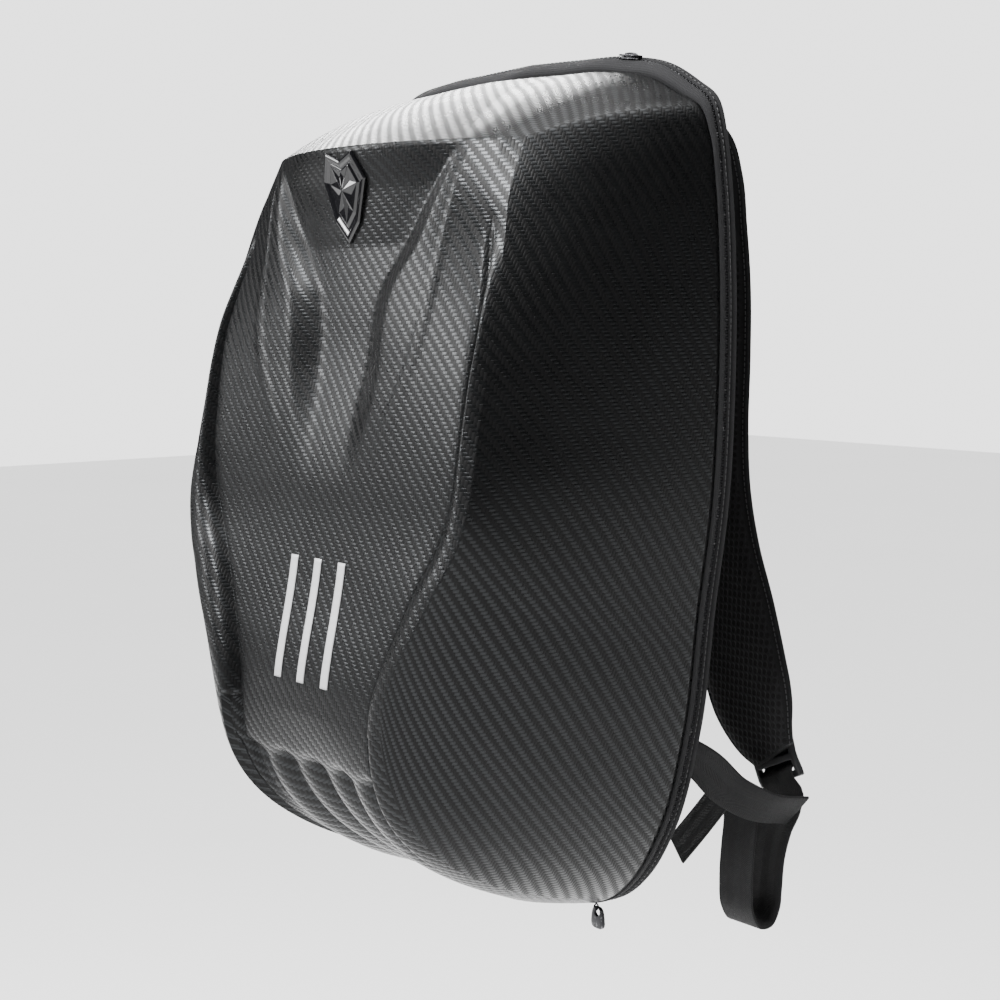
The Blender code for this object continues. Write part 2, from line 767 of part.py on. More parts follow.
def build():
    """Whole backpack."""
    for item in list(bpy.data.objects):
        bpy.data.objects.remove(item, do_unlink=True)
    carbon = make_material("carbon_look_shell", (0.030, 0.031, 0.033), 0.32)
    fabric = make_material("band_fabric", (0.022, 0.022, 0.024), 0.85)
    mesh_fabric = make_material("pad_fabric", (0.012, 0.012, 0.013), 0.9)
    strap_fabric = make_material("strap_fabric", (0.009, 0.009, 0.010), 0.88)
    web = make_material("webbing", (0.012, 0.012, 0.013), 0.7)
    plastic = make_material("black_plastic", (0.010, 0.010, 0.011), 0.4)
    gloss = make_material("gloss_black", (0.006, 0.006, 0.007), 0.08)
    reflective = make_material("reflective_grey", (0.62, 0.62, 0.63), 0.45)
    zip_metal = make_material("zip_metal", (0.030, 0.030, 0.032), 0.35, 0.8)

    shell_rim = make_shell(carbon)
    middle = 4 * cells_per_band
    outline = full_loop(rim_curve(middle, len(front_rows) - 1, middle, 0.0))
    make_band(fabric, shell_rim, outline)
    make_slab("back_panel", outline, panel_front, panel_rear, panel_edge_round, mesh_fabric)
    make_pads(mesh_fabric)
    make_badge(gloss)
    make_strips(reflective)
    make_straps(strap_fabric)
    make_webbing(web)
    make_locks(plastic)
    make_zip_parts(zip_metal, outline)


build()
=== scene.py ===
import math

import bmesh
import bpy
import numpy as np
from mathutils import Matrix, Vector


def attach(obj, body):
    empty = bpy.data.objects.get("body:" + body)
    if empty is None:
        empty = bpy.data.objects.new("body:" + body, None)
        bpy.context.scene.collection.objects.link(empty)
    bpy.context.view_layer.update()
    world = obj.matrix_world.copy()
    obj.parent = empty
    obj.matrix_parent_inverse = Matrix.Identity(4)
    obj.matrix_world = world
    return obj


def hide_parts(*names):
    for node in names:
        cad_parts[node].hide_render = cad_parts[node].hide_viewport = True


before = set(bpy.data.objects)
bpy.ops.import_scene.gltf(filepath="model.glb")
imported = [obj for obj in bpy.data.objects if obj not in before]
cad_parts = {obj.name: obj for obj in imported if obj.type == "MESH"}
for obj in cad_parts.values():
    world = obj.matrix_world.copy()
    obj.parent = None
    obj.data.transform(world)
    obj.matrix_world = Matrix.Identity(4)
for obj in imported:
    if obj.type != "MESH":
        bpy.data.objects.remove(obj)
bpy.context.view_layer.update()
mm = 0.001

# Sizes shared by all pieces; the shell faces -Y, the wearer's side +Y
bag = {
    "height": 480 * mm,
    "halfWidth": 155 * mm,
    "depth": 175 * mm,
    "gap": 0.3 * mm,
    "padThick": 10 * mm,
    "panelThick": 4 * mm,
    "bandDepth": 8 * mm,
    "topStep": 8 * mm,
    "collar": 3 * mm,
}
panelRear = -(bag["padThick"] + bag["gap"])
panelFront = panelRear - bag["panelThick"]
bandRear = panelFront - bag["gap"]
bandFront = bandRear - bag["bandDepth"]
shellEdge = bandFront - bag["gap"]
bagBottom = -bag["height"] / 2


# Curves and tables

def smoothValue(stations, values, where):
    order = np.argsort(stations)
    stations = np.asarray(stations, dtype=float)[order]
    values = np.asarray(values, dtype=float)[order]
    slopes = np.gradient(values, stations)
    where = np.clip(where, stations[0], stations[-1])
    index = np.clip(np.searchsorted(stations, where) - 1, 0, len(stations) - 2)
    span = stations[index + 1] - stations[index]
    t = (where - stations[index]) / span
    start = (2 * t**3 - 3 * t**2 + 1) * values[index] + (t**3 - 2 * t**2 + t) * span * slopes[index]
    end = (3 * t**2 - 2 * t**3) * values[index + 1] + (t**3 - t**2) * span * slopes[index + 1]
    return start + end


def ease(low, high, where):
    t = np.clip((where - low) / (high - low), 0.0, 1.0)
    return t * t * (3 - 2 * t)


def tableColumn(rows, names, name):
    return np.array([row[names.index(name)] for row in rows], dtype=float)


def tableValue(rows, names, name, where):
    # A column read smoothly at places along the first one
    return smoothValue(tableColumn(rows, names, names[0]), tableColumn(rows, names, name), where)


def runOf(points):
    # Length along a row of points, from nought
    steps = np.linalg.norm(np.diff(np.asarray(points, dtype=float), axis=0), axis=1)
    return np.concatenate([[0.0], np.cumsum(steps)])


def atHeight(share):
    return share * bag["height"] + bagBottom


def flatLoop(outline, y):
    # Points (x, z) set upright at the depth y
    return np.stack([outline[:, 0], np.full(len(outline), y), outline[:, 1]], axis=-1)


# Building meshes

def linkObject(name, data):
    thing = bpy.data.objects.new(name, data)
    bpy.context.scene.collection.objects.link(thing)
    return thing


def addPiece(name, material, points, faces, weave=None, turn=True):
    # Weave: one (u, v) in metres for each corner of each face, in order
    mesh = bpy.data.meshes.new(name)
    mesh.from_pydata([tuple(map(float, p)) for p in points], [], [tuple(map(int, f)) for f in faces])
    if weave is not None:
        layer = mesh.uv_layers.new(name="weave")
        layer.data.foreach_set("uv", np.asarray(weave, dtype=np.float32).ravel())
    mesh.materials.append(material)
    mesh.shade_smooth()
    if turn:
        shape = bmesh.new()
        shape.from_mesh(mesh)
        bmesh.ops.recalc_face_normals(shape, faces=shape.faces)
        shape.to_mesh(mesh)
        shape.free()
    return linkObject(name, mesh)


def standShape(shape, name, material, place, turn):
    # A bmesh as an object at its place, turned about Y
    bmesh.ops.recalc_face_normals(shape, faces=shape.faces)
    mesh = bpy.data.meshes.new(name)
    shape.to_mesh(mesh)
    shape.free()
    mesh.materials.append(material)
    piece = linkObject(name, mesh)
    piece.location = place
    piece.rotation_euler = (0, turn, 0)
    bpy.context.view_layer.update()
    return piece


def bakePiece(piece):
    # The evaluated mesh as a plain object at the origin, with nothing live left on it
    depsgraph = bpy.context.evaluated_depsgraph_get()
    depsgraph.update()
    mesh = bpy.data.meshes.new_from_object(piece.evaluated_get(depsgraph), depsgraph=depsgraph)
    mesh.transform(piece.matrix_world)
    name, old = piece.name, piece.data
    bpy.data.objects.remove(piece, do_unlink=True)
    if old.users == 0:
        bpy.data.meshes.remove(old)
    mesh.name = name
    return linkObject(name, mesh)


def bakeWith(piece, kind, **settings):
    modifier = piece.modifiers.new(kind.title(), kind)
    for key, value in settings.items():
        setattr(modifier, key, value)
    return bakePiece(piece)


def skinLoops(loops, capped=True, us=None, vs=None, closed=False):
    # Faces through closed loops, with weave coordinates from the run along (us) and round (vs)
    count = len(loops[0])
    faces = []
    weave = None if us is None else []
    for ring in range(len(loops) if closed else len(loops) - 1):
        here, there = ring * count, (ring + 1) % len(loops) * count
        for k in range(count):
            following = (k + 1) % count
            faces.append((here + k, here + following, there + following, there + k))
            if us is not None:
                weave += [(us[ring], vs[k]), (us[ring], vs[k + 1]), (us[ring + 1], vs[k + 1]), (us[ring + 1], vs[k])]
    if capped:
        for ring in (0, len(loops) - 1):
            faces.append(tuple(range(ring * count, (ring + 1) * count)))
            if us is not None:
                weave += [(us[ring], vs[k]) for k in range(count)]
    return [p for loop in loops for p in loop], faces, weave


def finishPiece(piece, slot, *nodes):
    if nodes:
        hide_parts(*nodes)
    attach(piece, "root")


# Shader helpers

def newMaterial(name):
    material = bpy.data.materials.new(name)
    material.use_nodes = True
    return material, material.node_tree, material.node_tree.nodes["Principled BSDF"]


def addNode(tree, kind, inputs=None, **settings):
    node = tree.nodes.new(kind)
    for key, value in settings.items():
        setattr(node, key, value)
    for key, value in (inputs or {}).items():
        if isinstance(value, bpy.types.NodeSocket):
            tree.links.new(value, node.inputs[key])
        else:
            node.inputs[key].default_value = value
    return node


def calc(tree, operation, *values):
    return addNode(tree, "ShaderNodeMath", dict(enumerate(values)), operation=operation).outputs[0]


def sineOf(tree, value, times=math.pi):
    return calc(tree, "SINE", calc(tree, "MULTIPLY", value, times))


def blendValue(tree, factor, first, second):
    return addNode(tree, "ShaderNodeMix", {0: factor, 2: first, 3: second}).outputs[0]


def blendColour(tree, factor, first, second):
    return addNode(tree, "ShaderNodeMix", {0: factor, 6: first, 7: second}, data_type="RGBA").outputs[2]


def remap(tree, value, low, high, outLow, outHigh):
    return addNode(tree, "ShaderNodeMapRange", {0: value, 1: low, 2: high, 3: outLow, 4: outHigh}).outputs[0]


def objectNoise(tree, scale, detail=2.0, roughness=0.5):
    coords = addNode(tree, "ShaderNodeTexCoord").outputs["Object"]
    return addNode(tree, "ShaderNodeTexNoise", {"Vector": coords, "Scale": scale, "Detail": detail,
                                                "Roughness": roughness}).outputs[0]


def objectDrift(tree, noise, reach):
    return calc(tree, "MULTIPLY", calc(tree, "SUBTRACT", objectNoise(tree, *noise), 0.5), reach)


def objectCells(tree, size, randomness, stretch=(1.0, 1.0, 1.0)):
    coords = addNode(tree, "ShaderNodeTexCoord").outputs["Object"]
    coords = addNode(tree, "ShaderNodeMapping", {"Vector": coords, "Scale": stretch}).outputs[0]
    return addNode(tree, "ShaderNodeTexVoronoi", {"Vector": coords, "Scale": 1 / size,
                                                  "Randomness": randomness}).outputs["Distance"]


def weaveAxes(tree):
    weaveMap = addNode(tree, "ShaderNodeUVMap", uv_map="weave").outputs[0]
    split = addNode(tree, "ShaderNodeSeparateXYZ", {0: weaveMap})
    return split.outputs[0], split.outputs[1]


def addBump(tree, shader, height, distance, strength=1.0, under=None):
    inputs = {"Height": height, "Distance": distance, "Strength": strength}
    if under is not None:
        inputs["Normal"] = under
    bump = addNode(tree, "ShaderNodeBump", inputs)
    tree.links.new(bump.outputs[0], shader.inputs["Normal"])
    return bump.outputs[0]


def dressShader(tree, shader, colour, roughness, fixed):
    tree.links.new(colour, shader.inputs["Base Color"])
    tree.links.new(roughness, shader.inputs["Roughness"])
    for name, value in fixed.items():
        shader.inputs[name].default_value = value


def grey(value, blue=None):
    return (value, value, value if blue is None else blue, 1)


# Finishes; a noise is given as scale, detail and roughness, a blend as from, to, lowest and most

twillSet = {
    "tow": 1.9 * mm,            # width of one carbon tow
    "repeat": 4.0,              # tows to one repeat of the pattern, over two and under two
    "over": 2.0,
    "driftNoise": (14.0, 1.0),
    "wander": 1.0 * mm,         # slow drift of the weave over the moulding
    "relief": 0.11 * mm,
    "dome": 0.55,               # the lower, the fuller the tow's section and its arch
    "arch": 0.6,
    "archShare": 0.7,
    "fibres": 52.0,             # single fibres along each tow
    "fibreShare": 0.03,
    # painted reflection: the weft tows take a brighter colour than the warp tows in any light, in place of the twill's
    # directional sheen
    "warpColour": grey(0.004, 0.0042),
    "weftSheenColour": (0.024, 0.025, 0.026, 1),
    # painted shade: the gap colour darkens the low parts of the tow relief, between the tows
    "gapShadeColour": grey(0.002),
    "gapShadeShare": 0.6,
    "cloudNoise": (9.0, 3.0),
    "cloudBlend": (0.3, 0.7, 0.0, 0.3),
    "weftSheenMetal": 0.85,          # painted reflection: the bright weft tows are made near to metal and the dark warp tows plain plastic, in place of the sheen that shifts with the light on twill
    "warpRoughness": 0.42,
    "weftRoughness": 0.27,
    "smearNoise": (55.0, 4.0),
    "smearBlend": (0.3, 0.7, -0.03, 0.05),
    "fixed": {"Specular IOR Level": 0.09, "Coat Weight": 0.03, "Coat Roughness": 0.25},
}


def makeTwill():
    material, tree, shader = newMaterial("carbonTwill")
    u, v = weaveAxes(tree)
    drift = objectDrift(tree, twillSet["driftNoise"], twillSet["wander"])
    u = calc(tree, "DIVIDE", calc(tree, "ADD", u, drift), twillSet["tow"])
    v = calc(tree, "DIVIDE", calc(tree, "SUBTRACT", v, drift), twillSet["tow"])
    warpRun = calc(tree, "ADD", calc(tree, "FLOOR", u), v)
    weftRun = calc(tree, "ADD", u, calc(tree, "FLOOR", v))
    warpRun, weftRun = (calc(tree, "FLOORED_MODULO", run, twillSet["repeat"]) for run in (warpRun, weftRun))
    isWarp = calc(tree, "LESS_THAN", warpRun, twillSet["over"])

    def towHeight(run, crossing):
        dome = calc(tree, "POWER", sineOf(tree, calc(tree, "FRACT", crossing)), twillSet["dome"])
        arch = sineOf(tree, calc(tree, "FRACT", calc(tree, "DIVIDE", run, twillSet["over"])))
        share = twillSet["archShare"]
        arch = calc(tree, "MULTIPLY_ADD", calc(tree, "POWER", arch, twillSet["arch"]), share, 1 - share)
        return calc(tree, "MULTIPLY", dome, arch)

    height = blendValue(tree, isWarp, towHeight(weftRun, v), towHeight(warpRun, u))
    fibre = blendValue(tree, isWarp, sineOf(tree, v, twillSet["fibres"]), sineOf(tree, u, twillSet["fibres"]))
    relief = calc(tree, "MULTIPLY_ADD", fibre, twillSet["fibreShare"], height)
    # painted reflection: weft tows brighter and near to metal, warp tows dark, whatever the light
    colour = blendColour(tree, isWarp, twillSet["weftSheenColour"], twillSet["warpColour"])
    # painted shade: darker where the tow relief is low, between the tows
    gapShade = calc(tree, "MULTIPLY_ADD", height, -twillSet["gapShadeShare"], twillSet["gapShadeShare"])
    colour = blendColour(tree, gapShade, colour, twillSet["gapShadeColour"])
    clouds = remap(tree, objectNoise(tree, *twillSet["cloudNoise"]), *twillSet["cloudBlend"])
    colour = blendColour(tree, clouds, colour, twillSet["warpColour"])
    metal = calc(tree, "MULTIPLY", calc(tree, "SUBTRACT", 1.0, isWarp), twillSet["weftSheenMetal"])
    tree.links.new(metal, shader.inputs["Metallic"])
    smear = remap(tree, objectNoise(tree, *twillSet["smearNoise"]), *twillSet["smearBlend"])
    rough = calc(tree, "ADD", blendValue(tree, isWarp, twillSet["weftRoughness"], twillSet["warpRoughness"]), smear)
    dressShader(tree, shader, colour, rough, twillSet["fixed"])
    addBump(tree, shader, relief, twillSet["relief"])
    return material


clothSet = {
    "frayNoise": (900.0, 2.0),
    "fray": 0.5,                # fray and relief are shares of a thread
    "relief": 0.45,
    "lint": (4.0, 0.6),         # the scale of the noise comes from the cloth
    "lintBlend": (0.35, 0.75, 0.0, 0.45),
    "lintRelief": 0.5 * mm,
}
# deep is painted shade for the low points of the weave, top the thread crowns, worn the lint
bandCloth = {"thread": 0.55 * mm, "cloud": 60.0, "deep": grey(0.007, 0.0075), "top": grey(0.014, 0.015),
             "worn": grey(0.020, 0.021), "roughness": 0.84, "sheen": 0.02}
strapCloth = {"thread": 0.8 * mm, "cloud": 40.0, "deep": grey(0.002), "top": grey(0.007, 0.0075),
              "worn": grey(0.009, 0.0095), "roughness": 0.86, "sheen": 0.01}


def makeCloth(name, cloth):
    # Plain woven cloth on the weave map: threads cross over and under
    material, tree, shader = newMaterial(name)
    thread, rough = cloth["thread"], cloth["roughness"]
    fray = objectDrift(tree, clothSet["frayNoise"], thread * clothSet["fray"])
    u, v = (calc(tree, "DIVIDE", calc(tree, "ADD", axis, fray), thread) for axis in weaveAxes(tree))
    warp, weft = (calc(tree, "ABSOLUTE", sineOf(tree, axis)) for axis in (u, v))
    parity = calc(tree, "FLOORED_MODULO", calc(tree, "ADD", calc(tree, "FLOOR", u), calc(tree, "FLOOR", v)), 2.0)
    height = blendValue(tree, parity, warp, weft)
    lint = objectNoise(tree, cloth["cloud"], *clothSet["lint"])
    # painted shade: the colour runs from deep where the threads dip to top on their crowns
    colour = blendColour(tree, height, cloth["deep"], cloth["top"])
    colour = blendColour(tree, remap(tree, lint, *clothSet["lintBlend"]), colour, cloth["worn"])
    dressShader(tree, shader, colour, remap(tree, lint, 0.3, 0.7, rough - 0.05, rough + 0.05), {
        "Sheen Weight": cloth["sheen"], "Sheen Roughness": 0.4, "Specular IOR Level": 0.14})
    soft = addBump(tree, shader, lint, clothSet["lintRelief"], 0.5)
    addBump(tree, shader, height, thread * clothSet["relief"], 0.8, soft)
    return material


airMeshSet = {
    "cell": 3.4 * mm,
    "stretch": (1.0, 0.15, 0.82),
    "uneven": 0.12,
    "depth": 0.7 * mm,
    "rimBlend": (0.28, 0.48, 0.0, 1.0),
    "yarnNoise": (1400.0, 2.0),
    "yarnBlend": (0.4, 0.7, 0.0, 0.35),
    "yarnRelief": 0.12 * mm,
    # deep is painted shade in the hollows of the mesh cells
    "deep": grey(0.002),
    "top": grey(0.008, 0.0085),
    "worn": grey(0.012, 0.0125),
    "fixed": {"Specular IOR Level": 0.14, "Sheen Weight": 0.02},
}


def makeAirMesh():
    material, tree, shader = newMaterial("airMesh")
    cells = objectCells(tree, airMeshSet["cell"], airMeshSet["uneven"], airMeshSet["stretch"])
    rim = remap(tree, cells, *airMeshSet["rimBlend"])
    yarn = objectNoise(tree, *airMeshSet["yarnNoise"])
    # painted shade: deep colour in each cell's hollow, top colour on its rim
    colour = blendColour(tree, rim, airMeshSet["deep"], airMeshSet["top"])
    colour = blendColour(tree, remap(tree, yarn, *airMeshSet["yarnBlend"]), colour, airMeshSet["worn"])
    dressShader(tree, shader, colour, remap(tree, yarn, 0.3, 0.7, 0.85, 0.95), airMeshSet["fixed"])
    fine = addBump(tree, shader, yarn, airMeshSet["yarnRelief"], 0.6)
    addBump(tree, shader, rim, airMeshSet["depth"], 0.8, fine)
    return material


webSet = {
    "rib": 1.3 * mm,
    "chevron": 5.0 * mm,
    "cord": 0.9 * mm,
    "cordShare": 0.35,
    "relief": 0.30 * mm,
    "fuzzNoise": (700.0, 3.0),
    "fuzzBlend": (0.45, 0.75, 0.0, 0.3),
    # deep is painted shade in the grooves between the ribs
    "deep": grey(0.003),
    "top": grey(0.009, 0.0095),
    "worn": grey(0.011, 0.012),
    "fixed": {"Specular IOR Level": 0.14, "Sheen Weight": 0.01},
}


def makeWebbing():
    material, tree, shader = newMaterial("wovenWebbing")
    u, v = weaveAxes(tree)
    slanted = calc(tree, "DIVIDE", calc(tree, "ADD", u, calc(tree, "PINGPONG", v, webSet["chevron"])), webSet["rib"])
    rib = calc(tree, "ABSOLUTE", sineOf(tree, slanted))
    cord = calc(tree, "ABSOLUTE", sineOf(tree, calc(tree, "DIVIDE", v, webSet["cord"])))
    height = calc(tree, "MULTIPLY_ADD", cord, webSet["cordShare"], rib)
    fuzz = objectNoise(tree, *webSet["fuzzNoise"])
    # painted shade: darker in the grooves, lighter on the ribs
    colour = blendColour(tree, calc(tree, "MULTIPLY", height, 0.75), webSet["deep"], webSet["top"])
    colour = blendColour(tree, remap(tree, fuzz, *webSet["fuzzBlend"]), colour, webSet["worn"])
    dressShader(tree, shader, colour, remap(tree, fuzz, 0.3, 0.7, 0.62, 0.78), webSet["fixed"])
    addBump(tree, shader, height, webSet["relief"], 0.8)
    return material


filmSet = {
    "bead": 0.9 * mm,
    "uneven": 0.25,
    "beadBlend": (0.1, 0.7, 0.0, 0.5),
    "relief": 0.06 * mm,
    "soilNoise": (130.0, 4.0, 0.6),
    "soilBlend": (0.5, 0.75, 0.0, 0.3),
    "colours": (grey(0.38, 0.385), grey(0.29, 0.295), grey(0.24, 0.245)),
    "fixed": {"Metallic": 0.15},
}


def makeReflective():
    material, tree, shader = newMaterial("reflectiveFilm")
    pale, deep, soiled = filmSet["colours"]
    cells = objectCells(tree, filmSet["bead"], filmSet["uneven"])
    soil = objectNoise(tree, *filmSet["soilNoise"])
    colour = blendColour(tree, remap(tree, cells, *filmSet["beadBlend"]), pale, deep)
    colour = blendColour(tree, remap(tree, soil, *filmSet["soilBlend"]), colour, soiled)
    dressShader(tree, shader, colour, remap(tree, soil, 0.3, 0.7, 0.38, 0.52), filmSet["fixed"])
    addBump(tree, shader, cells, filmSet["relief"], 0.5)
    return material


# Finishes of one or two noises: the patches blend the colours, one of the two sets the roughness, the grain the bump
plainFinishes = {
    "mouldedPlastic": {
        "patches": (120.0, 5.0, 0.65), "grain": (1600.0, 3.0), "colours": (grey(0.009, 0.010), grey(0.022, 0.023)),
        "blend": (0.5, 0.75, 0.0, 0.5), "roughBy": "patches", "rough": (0.3, 0.7, 0.34, 0.5),
        "bump": (0.05 * mm, 0.6), "fixed": {},
    },
    "glossBlack": {
        "patches": (45.0, 3.0), "grain": (300.0, 5.0, 0.7), "colours": (grey(0.003, 0.0035), grey(0.008, 0.009)),
        "blend": (0.4, 0.7, 0.0, 0.4), "roughBy": "grain", "rough": (0.35, 0.7, 0.05, 0.14), "bump": (0.02 * mm, 0.4),
        "fixed": {"Specular IOR Level": 0.4, "Coat Weight": 0.15, "Coat Roughness": 0.04},
    },
    "blackenedMetal": {
        "patches": (420.0, 4.0, 0.6), "grain": (420.0, 4.0, 0.6), "colours": (grey(0.020, 0.022), grey(0.16, 0.165)),
        "blend": (0.55, 0.72, 0.0, 1.0), "roughBy": "grain", "rough": (0.3, 0.7, 0.28, 0.45),
        "bump": (0.03 * mm, 0.5), "fixed": {"Metallic": 0.85},
    },
    "blackThread": {
        "patches": (2600.0, 2.0), "grain": (2600.0, 2.0), "colours": (grey(0.006), grey(0.035, 0.037)),
        "blend": (0.0, 1.0, 0.0, 1.0), "roughBy": "grain", "rough": (0.3, 0.7, 0.55, 0.75), "bump": (0.06 * mm, 0.6),
        "fixed": {},
    },
}


def makePlain(name):
    settings = plainFinishes[name]
    material, tree, shader = newMaterial(name)
    noises = {kind: objectNoise(tree, *settings[kind]) for kind in ("patches", "grain")}
    colour = blendColour(tree, remap(tree, noises["patches"], *settings["blend"]), *settings["colours"])
    rough = remap(tree, noises[settings["roughBy"]], *settings["rough"])
    dressShader(tree, shader, colour, rough, settings["fixed"])
    addBump(tree, shader, noises["grain"], *settings["bump"])
    return material


carbonTwill = makeTwill()
bandFabric = makeCloth("bandFabric", bandCloth)
strapFabric = makeCloth("strapFabric", strapCloth)
airMesh = makeAirMesh()
wovenWebbing = makeWebbing()
reflectiveFilm = makeReflective()
mouldedPlastic, glossBlack, blackenedMetal, blackThread = (makePlain(name) for name in plainFinishes)
print("finishes ready")

# Stitches and teeth with geometry nodes


def rowTree(name, step, sizes, finish, result, placeBars):
    # Points along a line with a bar on each; placeBars gives the inputs that place the bars
    tree = bpy.data.node_groups.new(name, "GeometryNodeTree")
    face = tree.interface
    face.new_socket(name="Line", in_out="INPUT", socket_type="NodeSocketGeometry")
    for label, size in sizes.items():
        face.new_socket(name=label, in_out="INPUT", socket_type="NodeSocketFloat").default_value = size
    face.new_socket(name=finish, in_out="INPUT", socket_type="NodeSocketMaterial")
    face.new_socket(name=result, in_out="OUTPUT", socket_type="NodeSocketGeometry")
    given = addNode(tree, "NodeGroupInput")
    line = addNode(tree, "GeometryNodeMeshToCurve", {"Mesh": given.outputs["Line"]})
    spots = addNode(tree, "GeometryNodeCurveToPoints", {"Curve": line.outputs[0], "Length": given.outputs[step]},
                    mode="LENGTH")
    row = addNode(tree, "GeometryNodeInstanceOnPoints", placeBars(tree, given, spots))
    solid = addNode(tree, "GeometryNodeRealizeInstances", {0: row.outputs[0]})
    dressed = addNode(tree, "GeometryNodeSetMaterial", {"Geometry": solid.outputs[0],
                                                        "Material": given.outputs[finish]})
    addNode(tree, "NodeGroupOutput", {0: dressed.outputs[0]})
    return tree


def roundedBar(tree, given, radius, length):
    return addNode(tree, "GeometryNodeMeshCylinder", {"Vertices": 6, "Radius": given.outputs[radius],
                                                      "Depth": given.outputs[length]}).outputs["Mesh"]


def placeStitches(tree, given, spots):
    # Each stitch is a short round bar along the line
    return {"Points": spots.outputs["Points"], "Rotation": spots.outputs["Rotation"],
            "Instance": roundedBar(tree, given, "Thread radius", "Stitch length")}


def placeTeeth(tree, given, spots):
    # Zip coil: short bars across the tape, shifted left and right in turn
    index = addNode(tree, "GeometryNodeInputIndex").outputs[0]
    side = calc(tree, "MULTIPLY_ADD", calc(tree, "FLOORED_MODULO", index, 2.0), 2.0, -1.0)
    offset = addNode(tree, "ShaderNodeCombineXYZ", {"Y": calc(tree, "MULTIPLY", side, given.outputs["Shift"])})
    moved = addNode(tree, "GeometryNodeSetPosition", {"Geometry": spots.outputs["Points"],
                                                      "Offset": offset.outputs[0]})
    across = addNode(tree, "GeometryNodeTransform", {
        "Geometry": roundedBar(tree, given, "Tooth radius", "Tooth length"), "Rotation": (math.pi / 2, 0, 0)})
    return {"Points": moved.outputs[0], "Instance": across.outputs[0]}


stitchRow = rowTree("stitchRow", "Spacing", {"Spacing": 3 * mm, "Stitch length": 2 * mm, "Thread radius": 0.25 * mm},
                    "Thread", "Stitches", placeStitches)
zipCoil = rowTree("zipCoil", "Pitch", {"Pitch": 1.5 * mm, "Tooth length": 2.6 * mm, "Tooth radius": 0.4 * mm,
                                       "Shift": 0.35 * mm}, "Finish", "Teeth", placeTeeth)


def runAlong(name, tree, lines, values, slot):
    # Runs a tree on one or more lines of points, each with a note whether it closes
    points = []
    edges = []
    for line, closed in lines:
        first = len(points)
        points += [tuple(map(float, p)) for p in line]
        edges += [(first + k, first + k + 1) for k in range(len(line) - 1)]
        if closed:
            edges.append((first + len(line) - 1, first))
    mesh = bpy.data.meshes.new(name)
    mesh.from_pydata(points, edges, [])
    host = linkObject(name, mesh)
    modifier = host.modifiers.new("Row", "NODES")
    modifier.node_group = tree
    for item in tree.interface.items_tree:
        if item.in_out == "INPUT" and item.name in values:
            modifier[item.identifier] = values[item.name]
    piece = bakePiece(host)
    piece.data.shade_smooth()
    finishPiece(piece, slot)


def runStitches(name, lines, slot, spacing, length, radius):
    runAlong(name, stitchRow, lines, {"Spacing": spacing, "Stitch length": length, "Thread radius": radius,
                                      "Thread": blackThread}, slot)


# Shell

frontColumns = ("height", "centreDepth", "outer", "outerDepth", "groove", "grooveDepth", "lip", "floor")
frontRows = (
    (0.883, 0.806, 0.703, 0.594, 0.639, 0.640, 0.555, 0.523),
    (0.829, 0.811, 0.723, 0.669, 0.665, 0.697, 0.540, 0.439),
    (0.775, 0.820, 0.755, 0.714, 0.697, 0.731, 0.520, 0.348),
    (0.727, 0.831, 0.781, 0.749, 0.729, 0.771, 0.505, 0.245),
    (0.685, 0.840, 0.800, 0.783, 0.748, 0.806, 0.482, 0.213),
    (0.640, 0.846, 0.810, 0.817, 0.748, 0.834, 0.426, 0.203),
    (0.600, 0.854, 0.816, 0.843, 0.745, 0.851, 0.355, 0.181),
    (0.546, 0.863, 0.829, 0.877, 0.739, 0.869, 0.275, 0.148),
    (0.517, 0.869, 0.832, 0.894, 0.729, 0.874, 0.271, 0.135),
    (0.483, 0.874, 0.823, 0.914, 0.697, 0.880, 0.271, 0.135),
    (0.446, 0.886, 0.781, 0.937, 0.639, 0.894, 0.271, 0.135),
    (0.429, 0.893, 0.752, 0.949, 0.606, 0.903, 0.271, 0.135),
    (0.406, 0.903, 0.713, 0.960, 0.568, 0.914, 0.271, 0.135),
    (0.375, 0.920, 0.658, 0.977, 0.523, 0.926, 0.271, 0.135),
    (0.333, 0.946, 0.581, 0.994, 0.465, 0.943, 0.271, 0.135),
    (0.292, 0.966, 0.529, 1.000, 0.419, 0.957, 0.271, 0.135),
    (0.258, 0.969, 0.510, 0.994, 0.406, 0.963, 0.271, 0.135),
)
rimColumns = ("half", "height")
rimRows = (
    (0.000, 0.994), (0.260, 0.991), (0.500, 0.987), (0.700, 0.973), (0.825, 0.951), (0.905, 0.933),
    (0.950, 0.892), (0.974, 0.842), (0.998, 0.740), (1.000, 0.625), (0.980, 0.500), (0.923, 0.377),
    (0.862, 0.236), (0.735, 0.108), (0.620, 0.050), (0.500, 0.016), (0.370, 0.000), (0.180, 0.000),
    (0.000, 0.000),
)
wallColumns = ("place", "forward", "outward")
wallRows = (
    (0.0, 0.00, 0.64),
    (0.8, 0.05, 0.68),
    (1.0, 0.20, 0.66),
    (1.3, 0.25, 0.50),
    (1.7, 0.45, 0.50),
    (2.0, 0.88, 0.52),
    (3.0, 0.89, 0.52),
)
